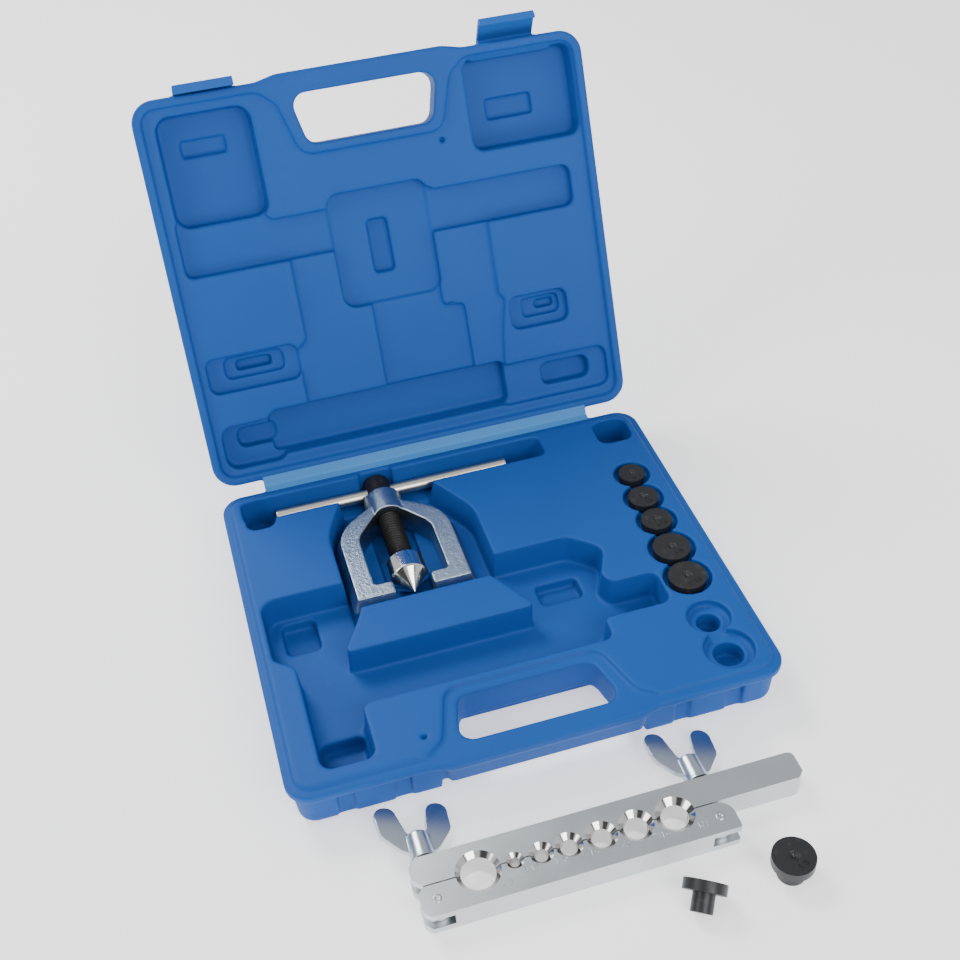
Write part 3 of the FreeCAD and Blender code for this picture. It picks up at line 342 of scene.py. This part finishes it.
oxide = black_oxide("black_oxide", (0.020, 0.021, 0.023, 1), 0.30)
screw_black = black_oxide("screw_black", (0.016, 0.014, 0.014, 1), 0.34)
print("oxides", oxide.name, screw_black.name)

# %% [markdown]
# A few tools do most of the shaping. `bare` selects nothing and `only` selects one piece,
# since an operator acts on all that is selected. `apply_modifier` adds a modifier and makes
# it final. `dress` gives a finished piece its material and its body, and hides what it replaces.

# %% Shaping helpers
node_bodies = {
    node: body for body, nodes in frame["record"]["behaviour"]["bodies"].items() for node in nodes
}


def bare():
    """Leave edit mode and select nothing."""
    if bpy.context.object and bpy.context.object.mode != "OBJECT":
        bpy.ops.object.mode_set(mode="OBJECT")
    bpy.ops.object.select_all(action="DESELECT")


def only(piece):
    """Select one piece and make it the active one."""
    bare()
    piece.select_set(True)
    bpy.context.view_layer.objects.active = piece


def apply_modifier(piece, kind, **settings):
    """Add a modifier to a piece and make its effect part of the mesh."""
    only(piece)
    modifier = piece.modifiers.new(kind.lower(), kind)
    for name, value in settings.items():
        setattr(modifier, name, value)
    bpy.ops.object.modifier_apply(modifier=modifier.name)


def smooth(piece, angle=32):
    """Shade a piece smooth below an angle, with flat faces kept flat beside their bevels."""
    only(piece)
    bpy.ops.object.shade_smooth_by_angle(angle=math.radians(angle))
    apply_modifier(piece, "WEIGHTED_NORMAL", keep_sharp=True)


def dress(piece, material, node, replaced=True):
    """Give a finished piece its material and its body, and hide the imported solid it replaces.
    """
    if material:
        piece.data.materials.clear()
        piece.data.materials.append(material)
    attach(piece, node_bodies[node])
    if replaced:
        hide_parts(node)
    size = [round(value / MM, 1) for value in piece.dimensions]
    print(piece.name, size, "mm", len(piece.data.polygons), "faces")


def node_box(node):
    """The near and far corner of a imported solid, in millimetres."""
    low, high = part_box(node)
    return Vector(low) / MM, Vector(high) / MM


# %% [markdown]
# Moulded and cast pieces have no sharp edges: the plastic or the metal draws back as it
# sets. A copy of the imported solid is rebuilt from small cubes, which turns its loose
# triangles into one even skin, and that skin is then relaxed, which rounds every edge by
# about one cube. Last it is thinned, because flat walls need few faces. A leaning piece is
# turned upright first, so that its flat faces lie along the cubes.

# %% Moulding helper
def moulded(node, name, cube, relax, keep, hinge=None, lean=0, added=()):
    """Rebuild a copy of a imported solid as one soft-edged skin; sizes in millimetres.

    Forms that are added only touch or overlap the solid; the skin takes them all in. More
    relax steps round the edges further, and keep is the share of the faces that stays.
    """
    source = frame["nodes"][node]
    piece = source.copy()
    piece.data = source.data.copy()
    piece.name = name
    bpy.context.collection.objects.link(piece)
    only(piece)
    bpy.ops.object.mode_set(mode="EDIT")
    bpy.ops.mesh.select_all(action="SELECT")
    bpy.ops.mesh.remove_doubles(threshold=0.002 * MM)
    bpy.ops.object.mode_set(mode="OBJECT")
    if hinge:
        turn_about(piece, hinge, -lean)
    bare()
    for form in added:
        form.select_set(True)
    piece.select_set(True)
    bpy.context.view_layer.objects.active = piece
    if added:
        bpy.ops.object.join()
    apply_modifier(piece, "REMESH", mode="VOXEL", voxel_size=cube * MM)
    apply_modifier(piece, "SMOOTH", factor=0.5, iterations=relax)
    apply_modifier(piece, "DECIMATE", ratio=keep)
    if hinge:
        turn_about(piece, hinge, lean)
    smooth(piece, 55)
    return piece


def turn_about(piece, hinge, angle):
    """Turn a mesh about an axis along X through the hinge, by degrees."""
    only(piece)
    bpy.ops.object.mode_set(mode="EDIT")
    bpy.ops.mesh.select_all(action="SELECT")
    # transform.rotate turns the other way when no window is open.
    bpy.ops.transform.rotate(value=-math.radians(angle), orient_axis="X",
                             center_override=hinge)
    bpy.ops.object.mode_set(mode="OBJECT")


print("moulding helper ready")

# %% [markdown]
# Blocks come next: a cube is stretched between two corners, its upright edges are bevelled
# round, and one block is cut out of another. They serve the small forms of the case now and
# the die bar later.

# %% Block helpers
def block(name, low, high):
    """A box from corner to corner, in millimetres."""
    bare()
    centre = (Vector(low) + Vector(high)) / 2 * MM
    extent = (Vector(high) - Vector(low)) * MM
    bpy.ops.mesh.primitive_cube_add(size=1, location=centre, scale=extent)
    piece = bpy.context.object
    piece.name = name
    bpy.ops.object.transform_apply(location=True, rotation=True, scale=True)
    return piece


def round_corner(piece, x, y, radius, segments):
    """Bevel the upright edge nearest a corner of the block."""
    only(piece)
    bpy.ops.object.mode_set(mode="EDIT")
    bpy.ops.mesh.select_mode(type="EDGE")
    bpy.ops.mesh.select_all(action="DESELECT")
    shape = bmesh.from_edit_mesh(piece.data)
    for edge in shape.edges:
        first, last = (vertex.co / MM for vertex in edge.verts)
        upright = abs(first.z - last.z) > 1
        edge.select_set(upright and abs(first.x - x) < 0.05 and abs(first.y - y) < 0.05)
    bmesh.update_edit_mesh(piece.data)
    bpy.ops.mesh.bevel(offset=radius * MM, segments=segments, affect="EDGES")
    bpy.ops.mesh.select_mode(type="VERT")
    bpy.ops.object.mode_set(mode="OBJECT")


def cut(piece, cutter):
    """Take the cutter's shape out of a piece and throw the cutter away."""
    apply_modifier(piece, "BOOLEAN", operation="DIFFERENCE", solver="EXACT", object=cutter)
    bpy.data.objects.remove(cutter)


def rounded_block(name, low, high, radius):
    """A block with its four upright edges rounded."""
    piece = block(name, low, high)
    for x in (low[0], high[0]):
        for y in (low[1], high[1]):
            round_corner(piece, x, y, radius, 6)
    return piece


def corner_fill(left, right, front, rear, floor, top, radius):
    """What turns a sharp-cornered pit into one with round corners: a thin frame."""
    skin = 0.5
    lining = block("pit_frame", (left - skin, front - skin, floor - skin),
                   (right + skin, rear + skin, top))
    pit = rounded_block("pit", (left, front, floor - 2), (right, rear, top + 1), radius)
    cut(lining, pit)
    return lining


print("block helpers ready")

# %% [markdown]
# The two shells come first. They are the same moulding idea twice: an outer skin, a rim that
# the other shell closes on, and an inner skin pushed down around each tool. In the base the
# small pits get round corners, and the island in front of the yoke gets its full width. Pits
# are measured from the front left corner of the case, and their floors from its underside.

# %% Case base
shell_skin = {"cube": 0.75, "relax": 9, "keep": 0.26}
case_left = -122.0
case_front = -105.5
plateau = 28.0
tool_floor = 11.0
# Left, right, front and rear of each pit, then its floor and the radius of its corners.
base_pits = [
    (16, 34, 99, 121, 5, 4), (149, 172, 90, 105, 5, 3.5), (20, 42, 14, 39, 4, 4),
    (197, 205, 60, 72, 6, 2.5),
]
base_forms = [
    corner_fill(left + case_left, right + case_left, front + case_front, rear + case_front,
                floor, tool_floor, radius)
    for left, right, front, rear, floor, radius in base_pits
]


def island(front_half, rear_half, front_y, rear_y, middle):
    """The trapezoid block in front of the yoke: a block whose rear edge is drawn in."""
    piece = block("island", (middle - front_half, front_y, tool_floor - 1),
                  (middle + front_half, rear_y, plateau))
    only(piece)
    bpy.ops.object.mode_set(mode="EDIT")
    bpy.ops.mesh.select_all(action="DESELECT")
    shape = bmesh.from_edit_mesh(piece.data)
    for vertex in shape.verts:
        vertex.select = vertex.co.y > (rear_y - 1) * MM
    shape.select_flush(True)
    bmesh.update_edit_mesh(piece.data)
    bpy.ops.transform.resize(value=(rear_half / front_half, 1, 1),
                             center_override=(middle * MM, 0, 0))
    bpy.ops.object.mode_set(mode="OBJECT")
    for x, y in ((middle - front_half, front_y), (middle + front_half, front_y)):
        round_corner(piece, x, y, 4, 6)
    return piece


base_forms.append(island(front_half=49.5, rear_half=34.5, front_y=-28.0, rear_y=-1.5,
                         middle=-29.8))
base = moulded("case_base", "base_shell", added=base_forms, **shell_skin)
dress(base, case_blue, "case_base")

# %% [markdown]
# The lid gets the same care, but it leans back on its hinge, so its forms are made for a lid
# that lies flat. The hinge joint says where the hinge is and how far the lid is from flat.
# Depths are measured from the hinge line. One wall needs help: behind the right latch bay the
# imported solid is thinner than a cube, and without a backing the skin would have holes there.

# %% Case lid
joints = {joint["name"]: joint for joint in frame["record"]["behaviour"]["joints"]}
hinge_line = tuple(joints["lid_hinge"]["pos_m"])
lid_lean = joints["lid_hinge"]["range_deg"][1]
hinge = Vector(hinge_line) / MM
# Left, right, near and far end of each pit, then its floor, its top and its corners' radius.
lid_pits = [
    (21, 47, 181, 192, 17.5, 15, 4), (188, 216, 173, 186, 17, 14, 4),
    (111, 124, 103, 134, 15, 10.5, 4.5), (19, 52, 62, 74, 11, 8, 3.5),
    (25, 46, 65, 72, 15, 11, 2.5), (191, 213, 62, 73, 11, 8, 3), (199, 211, 65, 71, 14, 11, 2),
]
lid_forms = [
    corner_fill(left + case_left, right + case_left, hinge.y + front, hinge.y + rear,
                hinge.z - floor, hinge.z - top, radius)
    for left, right, front, rear, floor, top, radius in lid_pits
]
bay_backing = block("bay_backing", (60, 315.2, 11.5), (105, 317.1, 21.5))
lid_forms.append(bay_backing)
lid = moulded("case_lid", "lid_shell", hinge=hinge_line, lean=lid_lean, added=lid_forms,
              **shell_skin)
dress(lid, case_blue, "case_lid")

# %% [markdown]
# The latches are separate mouldings that snap onto stubs. They are thin and crisp, so their
# cubes are small. They keep the lean of the open lid that carries them.

# %% Latches
for side in ("left", "right"):
    latch = moulded(f"latch_{side}", f"latch_{side}_moulding", cube=0.28, relax=3, keep=0.35)
    # Their lighter blue is painted sheen.
    dress(latch, latch_blue, f"latch_{side}")

# %% [markdown]
# The yoke is a zinc-plated casting with bevels all round its two legs, and the wing nuts are
# small castings with thin, thumb-shaped wings. The eye of each swing bolt is forged.

# %% Castings
yoke = moulded("yoke", "yoke_casting", cube=0.38, relax=4, keep=0.5)
dress(yoke, cast_zinc, "yoke")
for side in ("left", "right"):
    nut = moulded(f"wing_nut_{side}", f"wing_nut_{side}_casting", cube=0.24, relax=6, keep=0.4)
    dress(nut, nut_zinc, f"wing_nut_{side}")
    bolt = moulded(f"swing_bolt_{side}", f"eye_bolt_{side}", cube=0.26, relax=2, keep=0.3)
    dress(bolt, bar_zinc, f"swing_bolt_{side}")

# %% [markdown]
# Everything turned on a lathe starts as one circle that is extruded ring after ring, each
# ring scaled to its own radius. A closed profile, as of a washer, ends on the ring where it
# began; an open one gets a face at both ends. A small bevel breaks the edges.

# %% Lathe helper
def lathe(name, rings, closed=False, edge=0.0, sides=96):
    """Turn a piece about Z from rings of (radius, height), in millimetres."""
    bare()
    radius, height = rings[0]
    bpy.ops.mesh.primitive_circle_add(vertices=sides, radius=radius * MM)
    piece = bpy.context.object
    piece.name = name
    bpy.ops.object.mode_set(mode="EDIT")
    bpy.ops.mesh.select_all(action="SELECT")
    bpy.ops.transform.translate(value=(0, 0, height * MM))
    for next_radius, next_height in rings[1:] + (rings[:1] if closed else []):
        rise = (next_height - height) * MM
        scale = next_radius / radius
        bpy.ops.mesh.extrude_region_move(TRANSFORM_OT_translate={"value": (0, 0, rise)})
        bpy.ops.transform.resize(value=(scale, scale, 1), center_override=(0, 0, 0))
        radius, height = next_radius, next_height
    bpy.ops.mesh.select_all(action="SELECT")
    bpy.ops.mesh.remove_doubles(threshold=0.0005 * MM)
    if not closed:
        bpy.ops.mesh.fill_holes(sides=0)
    bpy.ops.mesh.select_all(action="SELECT")
    bpy.ops.mesh.normals_make_consistent(inside=False)
    bpy.ops.object.mode_set(mode="OBJECT")
    if edge:
        apply_modifier(piece, "BEVEL", width=edge * MM, segments=2, limit_method="ANGLE",
                       angle_limit=math.radians(25))
    return piece


def lay(piece, turn=(0, 0, 0)):
    """Turn a piece by degrees and make the turn part of its mesh."""
    only(piece)
    piece.rotation_euler = [math.radians(angle) for angle in turn]
    bpy.ops.object.transform_apply(location=True, rotation=True, scale=True)


def seat(piece, node):
    """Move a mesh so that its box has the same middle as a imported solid's."""
    low, high = node_box(node)
    corners = [Vector(corner) for corner in piece.bound_box]
    middle = sum(corners, Vector()) / len(corners)
    only(piece)
    piece.location = (low + high) / 2 * MM - middle
    bpy.ops.object.transform_apply(location=True, rotation=True, scale=True)


ALONG_Y = (-90, 0, 0)
print("lathe ready")

# %% [markdown]
# The flaring cone is ground to 45 degrees and polished. Behind it is a short collar that
# holds the retaining ring, and in its socket sits the ball that takes the screw's thrust.

# %% Cone, ball and ring
low, high = node_box("flaring_cone")
cone_tip = low.y
cone_length = high.y - low.y
tip_radius = 0.12
cone_radius = 9.8
collar = 10.4
socket = 4.5
cone = lathe("cone_ground", [
    (tip_radius, 0), (cone_radius, cone_radius), (collar, cone_radius + 1.0),
    (collar, cone_length), (socket, cone_length), (socket, cone_radius + 2),
], edge=0.25)
lay(cone, ALONG_Y)
seat(cone, "flaring_cone")
smooth(cone, 24)
dress(cone, polished, "flaring_cone")

low, high = node_box("thrust_ball")
ball_radius = (high.x - low.x) / 2
bare()
bpy.ops.mesh.primitive_uv_sphere_add(segments=32, ring_count=16, radius=ball_radius * MM)
ball = bpy.context.object
ball.name = "ball"
seat(ball, "thrust_ball")
smooth(ball)
dress(ball, polished, "thrust_ball")

low, high = node_box("cone_retaining_ring")
ring_outer = (high.x - low.x) / 2
ring_inner = ring_outer - 1.2
ring_width = high.y - low.y
ring = lathe("spring_ring", [
    (ring_outer, 0), (ring_outer, ring_width), (ring_inner, ring_width), (ring_inner, 0),
], closed=True, edge=0.12)
lay(ring, ALONG_Y)
seat(ring, "cone_retaining_ring")
smooth(ring)
dress(ring, polished, "cone_retaining_ring")

# %% [markdown]
# The feed screw has a smooth head, crossed by the tee bar, and a shank that ends in a plain
# nose inside the cone. The shank is turned to the root of its thread.

# %% Feed screw
low, high = node_box("feed_screw")
screw_length = high.y - low.y
head_length = 13.2
head_radius = 7.5
shank_radius = 6.35
thread_depth = 0.95
nose_radius = 4.4
shoulder_from_tip = 22.3
nose_length = cone_tip + shoulder_from_tip - low.y
root_radius = shank_radius - thread_depth
thread_end = screw_length - head_length
screw = lathe("screw_body", [
    (nose_radius, 0), (nose_radius, nose_length), (root_radius, nose_length + 0.6),
    (root_radius, thread_end - 1), (head_radius, thread_end + 1), (head_radius, screw_length),
], edge=0.5)
lay(screw, ALONG_Y)
seat(screw, "feed_screw")
low, high = node_box("tee_bar")
rod_radius = (high.z - low.z) / 2
rod_clearance = 0.1
bare()
bpy.ops.mesh.primitive_cylinder_add(vertices=64, radius=(rod_radius + rod_clearance) * MM,
                                    depth=4 * head_radius * MM, rotation=(0, math.pi / 2, 0))
cross_hole = bpy.context.object
lay(cross_hole, (0, 90, 0))
screw_middle = sum((Vector(corner) for corner in screw.bound_box), Vector()) / 8
cross_hole.location = (screw_middle.x, (low.y + high.y) / 2 * MM, (low.z + high.z) / 2 * MM)
only(cross_hole)
bpy.ops.object.transform_apply(location=True, rotation=True, scale=True)
cut(screw, cross_hole)
smooth(screw)
dress(screw, screw_black, "feed_screw")

# %% [markdown]
# The thread is a ridge: a small triangle swept round the shank by the Screw modifier, one
# turn for each pitch. It is its own piece, riding on the same body as the shank, and it stops
# a little short of the nose and of the head.

# %% Screw thread
pitch = 2.0
runout = 3
turns = int((thread_end - nose_length - runout) / pitch)
bare()
bpy.ops.mesh.primitive_circle_add(vertices=3, radius=thread_depth * MM)
thread = bpy.context.object
thread.name = "screw_thread"
bpy.ops.object.mode_set(mode="EDIT")
bpy.ops.mesh.select_all(action="SELECT")
bpy.ops.transform.rotate(value=math.pi / 2, orient_axis="X", center_override=(0, 0, 0))
bpy.ops.transform.rotate(value=math.pi / 2, orient_axis="Y", center_override=(0, 0, 0))
bpy.ops.transform.translate(value=(root_radius * MM, 0, 0))
bpy.ops.object.mode_set(mode="OBJECT")
apply_modifier(thread, "SCREW", axis="Z", angle=math.tau, screw_offset=pitch * MM,
               iterations=turns, steps=48, render_steps=48)
only(thread)
bpy.ops.object.mode_set(mode="EDIT")
bpy.ops.mesh.select_all(action="SELECT")
bpy.ops.mesh.remove_doubles(threshold=0.001 * MM)
bpy.ops.mesh.fill_holes(sides=0)
bpy.ops.mesh.normals_make_consistent(inside=False)
bpy.ops.object.mode_set(mode="OBJECT")
lay(thread, ALONG_Y)
seat(thread, "feed_screw")
only(thread)
thread.location.y = (nose_length + thread_end - screw_length) / 2 * MM
bpy.ops.object.transform_apply(location=True, rotation=True, scale=True)
smooth(thread, 20)
dress(thread, screw_black, "feed_screw", replaced=False)

# %% [markdown]
# The tee bar is plain drawn rod with rounded ends, free to slide across in the screw's head.

# %% Tee bar
low, high = node_box("tee_bar")
rod_length = high.x - low.x
rod = lathe("tee_rod", [(rod_radius, 0), (rod_radius, rod_length)], edge=0.9, sides=64)
lay(rod, (0, 90, 0))
seat(rod, "tee_bar")
smooth(rod)
dress(rod, drawn, "tee_bar")

# %% [markdown]
# Each adapter is one turning in black oxide: a stem for the tube's bore, a thick flange, and
# a dimple that centres the cone. Its tube size is stamped beside the dimple. Six of them stand
# upright; the 1/2 one lies outside the case, tipped onto the rims of its flange and stem.

# %% Adapters
# The radius of each adapter's stem, under the tube size in inches.
stems = {"3_16": 1.75, "1_4": 2.4, "5_16": 3.1, "3_8": 3.85, "7_16": 4.5, "1_2": 5.0, "5_8": 6.5}
stem_length = 8.5
flange_thickness = 4.9
total = stem_length + flange_thickness
dimple_rim = 2.6
dimple_step = 0.35
dimple_depth = 1.9
tipped_size = "1_2"
tipped_flange = 9.75
tipped_heading = 58.5


def stamp(words, height, place, depth=0.25, turn=0):
    """Raised letters as a mesh, ready to be cut into a face; place is their middle."""
    bare()
    bpy.ops.object.text_add()
    letters = bpy.context.object
    letters.data.body = words
    letters.data.size = height * MM
    letters.data.extrude = depth * MM
    letters.data.align_x = "CENTER"
    letters.data.align_y = "CENTER"
    letters.data.resolution_u = 3
    letters.data.offset = 0.04 * MM
    bpy.ops.object.convert(target="MESH")
    letters = bpy.context.object
    letters.rotation_euler = (0, 0, math.radians(turn))
    letters.location = Vector(place) * MM
    bpy.ops.object.transform_apply(location=True, rotation=True, scale=True)
    return letters


for size_name, stem in stems.items():
    node = "adapter_" + size_name
    low, high = node_box(node)
    tipped = size_name == tipped_size
    flange = tipped_flange if tipped else min(high.x - low.x, high.y - low.y) / 2
    adapter = lathe(node + "_turning", [
        (stem, 0), (stem, stem_length), (flange, stem_length), (flange, total),
        (dimple_rim, total), (2.3, total - dimple_step), (1.5, total - dimple_step),
        (0.1, total - dimple_depth),
    ], edge=0.3)
    letters = stamp(size_name.replace("_", "/"), flange * 0.42, (0, -flange * 0.6, total))
    cut(adapter, letters)
    if tipped:
        lean = math.atan2(flange - stem, stem_length)
        heading = math.radians(tipped_heading)
        adapter.rotation_mode = "AXIS_ANGLE"
        adapter.rotation_axis_angle = (math.pi / 2 - lean, -math.sin(heading),
                                       math.cos(heading), 0)
        only(adapter)
        bpy.ops.object.transform_apply(location=True, rotation=True, scale=True)
    else:
        lay(adapter, (0, 0, 20))
    seat(adapter, node)
    smooth(adapter)
    dress(adapter, oxide, node)

# %% [markdown]
# The die bar is two halves of square rolled bar. Each half starts as a block of the packed
# solid's size; its upright corners are bevelled, the die holes and the bolt slots are cut,
# and a last small bevel breaks every edge. The holes are bored and countersunk through both
# halves at once, so one set of cutters on the split line serves both.

# %% Die bar helpers
# Radius of each bore, radius of its countersink, and its place along the bar.
dies = {
    "5/8": (7.94, 10.25, -49.3), "3/16": (2.38, 4.1, -32.7), "1/4": (3.175, 5.5, -20.5),
    "5/16": (3.97, 6.35, -7.7), "3/8": (4.765, 7.25, 7.5), "7/16": (5.555, 8.15, 23.7),
    "1/2": (6.35, 9.1, 42.2),
}
rear_low, rear_high = node_box("die_bar_rear")
front_low, front_high = node_box("die_bar_front")
split = (rear_low.y + front_high.y) / 2
bar_height = rear_high.z


def cut_dies(piece):
    """Bore and countersink all the dies through one half of the bar."""
    for bore, sink, along in dies.values():
        cutter = lathe("die_cutter", [
            (bore, -2), (bore, bar_height - (sink - bore)), (sink, bar_height),
            (sink + 0.5, bar_height + 0.5),
        ])
        cutter.location = (along * MM, split * MM, 0)
        only(cutter)
        bpy.ops.object.transform_apply(location=True, rotation=True, scale=True)
        cut(piece, cutter)


def finish_bar(piece, node):
    """Break the edges, then polish the countersinks."""
    apply_modifier(piece, "BEVEL", width=0.3 * MM, segments=2, limit_method="ANGLE",
                   angle_limit=math.radians(40))
    smooth(piece)
    piece.data.materials.clear()
    for material in (bar_zinc, polished, bored):
        piece.data.materials.append(material)
    for face in piece.data.polygons:
        centre = face.center / MM
        for bore, sink, along in dies.values():
            reach = math.hypot(centre.x - along, centre.y - split)
            if reach < bore + 0.3:
                face.material_index = 2
            elif reach < sink - 0.02 and 0.2 < face.normal.z < 0.9:
                face.material_index = 1
    dress(piece, None, node)


print("split line at", round(split, 2), "mm, bar", round(bar_height, 2), "mm high")

# %% [markdown]
# The rear half is the long one. Its left end is slotted for the bolt that swings in, and a
# window passes the right bolt.

# %% Rear half of the bar
slot_low = 3.4
slot_top = 9.8
rear = block("bar_back_half", rear_low, rear_high)
round_corner(rear, rear_low.x, rear_low.y, 4, 1)
round_corner(rear, rear_low.x, rear_high.y, 4, 1)
round_corner(rear, rear_high.x, rear_high.y, 3, 6)
round_corner(rear, rear_high.x, rear_low.y, 3, 1)
cut_dies(rear)
pin_left, pin_right = (
    sum(node_box(f"pivot_pin_{side}"), Vector()).x / 2 for side in ("left", "right")
)
bolt_room = 3.4
cut(rear, block("slot", (rear_low.x - 2, rear_low.y - 2, slot_low),
                (pin_left + bolt_room, rear_high.y + 2, slot_top)))
cut(rear, block("window", (pin_right - bolt_room, rear_low.y - 2, slot_low),
                (pin_right + bolt_room, rear_high.y + 2, slot_top)))
finish_bar(rear, "die_bar_rear")

# %% [markdown]
# The front half holds the pins, so both its ends are slotted for the eyes of the bolts. Each
# tube size is stamped in front of its hole, to the right.

# %% Front half of the bar
stamp_height = 4.4
stamp_depth = 0.4
front = block("bar_front_half", front_low, front_high)
round_corner(front, front_low.x, front_low.y, 3, 1)
round_corner(front, front_low.x, front_high.y, 3, 1)
round_corner(front, front_high.x, front_high.y, 7.3, 10)
round_corner(front, front_high.x, front_low.y, 1, 2)
cut_dies(front)
eye_room = 5.9
cut(front, block("slot", (front_low.x - 2, front_low.y - 2, slot_low),
                 (pin_left + eye_room, front_high.y + 2, slot_top)))
cut(front, block("slot", (pin_right - eye_room, front_low.y - 2, slot_low),
                 (front_high.x + 2, front_high.y + 2, slot_top)))
for words, (bore, sink, along) in dies.items():
    place = (along + sink * 0.8 + 2.2, split - max(sink * 0.75, 4.0) - 2.0, bar_height)
    cut(front, stamp(words, stamp_height, place, depth=stamp_depth))
finish_bar(front, "die_bar_front")

# %% [markdown]
# The pivot pins are riveted over, which leaves a shallow dome on top with a ring round it.
# The washers are stamped and a little rounded on both faces.

# %% Pins and washers
for side in ("left", "right"):
    low, high = node_box(f"pivot_pin_{side}")
    pin_radius = (high.x - low.x) / 2
    pin_length = high.z - low.z
    ring_dip = 0.25
    pin = lathe(f"rivet_{side}", [
        (pin_radius, 0), (pin_radius, pin_length - 0.3), (pin_radius * 0.8, pin_length),
        (pin_radius * 0.45, pin_length), (pin_radius * 0.3, pin_length - ring_dip),
    ], edge=0.08, sides=48)
    seat(pin, f"pivot_pin_{side}")
    smooth(pin)
    dress(pin, bar_zinc, f"pivot_pin_{side}")

    low, high = node_box(f"washer_{side}")
    outer = (high.x - low.x) / 2
    thickness = high.y - low.y
    inner = 3.1
    washer = lathe(f"flat_washer_{side}", [
        (outer, 0), (outer, thickness), (inner, thickness), (inner, 0),
    ], closed=True, edge=0.25, sides=64)
    lay(washer, ALONG_Y)
    seat(washer, f"washer_{side}")
    smooth(washer)
    dress(washer, nut_zinc, f"washer_{side}")

# %% [markdown]
# The living hinge is a thin web of the same plastic as the case. It is pale where it has
# been folded, because stretched polyethylene turns whiter. It follows the case at one edge
# and the lid at the other. One edge of a plane is kept and extruded along the web's path,
# from the base's rim over the hinge to the lid's rim.

# %% Hinge web
web_half = 96.0
web_thickness = 1.15
web_sink = 0.6
lean = math.radians(lid_lean)
along_lid = Vector((0, math.cos(lean), math.sin(lean)))
into_lid = Vector((0, math.sin(lean), -math.cos(lean)))
in_base = [Vector((0, hinge.y + out, hinge.z - web_sink)) for out in (-5.0, -3.0, -1.4, -0.5)]
in_lid = [hinge + along_lid * out + into_lid * web_sink for out in (0.4, 1.2, 3.0, 5.5)]
path = in_base + in_lid
bare()
bpy.ops.mesh.primitive_plane_add(size=1)
web = bpy.context.object
web.name = "hinge_web"
bpy.ops.object.mode_set(mode="EDIT")
bpy.ops.mesh.select_all(action="SELECT")
bpy.ops.mesh.delete(type="ONLY_FACE")
bpy.ops.mesh.select_all(action="DESELECT")
strip = bmesh.from_edit_mesh(web.data)
for vertex in strip.verts:
    vertex.select = vertex.co.y > 0
strip.select_flush(True)
bmesh.update_edit_mesh(web.data)
bpy.ops.mesh.select_all(action="INVERT")
bpy.ops.mesh.delete(type="VERT")
bpy.ops.mesh.select_all(action="SELECT")
bpy.ops.transform.resize(value=(2 * web_half * MM, 1, 1))
bpy.ops.transform.translate(value=path[0] * MM - Vector((0, 0.5, 0)))
for start, end in zip(path, path[1:]):
    bpy.ops.mesh.extrude_region_move(TRANSFORM_OT_translate={"value": (end - start) * MM})
bpy.ops.object.mode_set(mode="OBJECT")
apply_modifier(web, "SOLIDIFY", thickness=web_thickness * MM, offset=0)
smooth(web, 60)
web.data.materials.append(web_blue)
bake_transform(web)
print("web", [round(value / MM, 1) for value in web.dimensions])
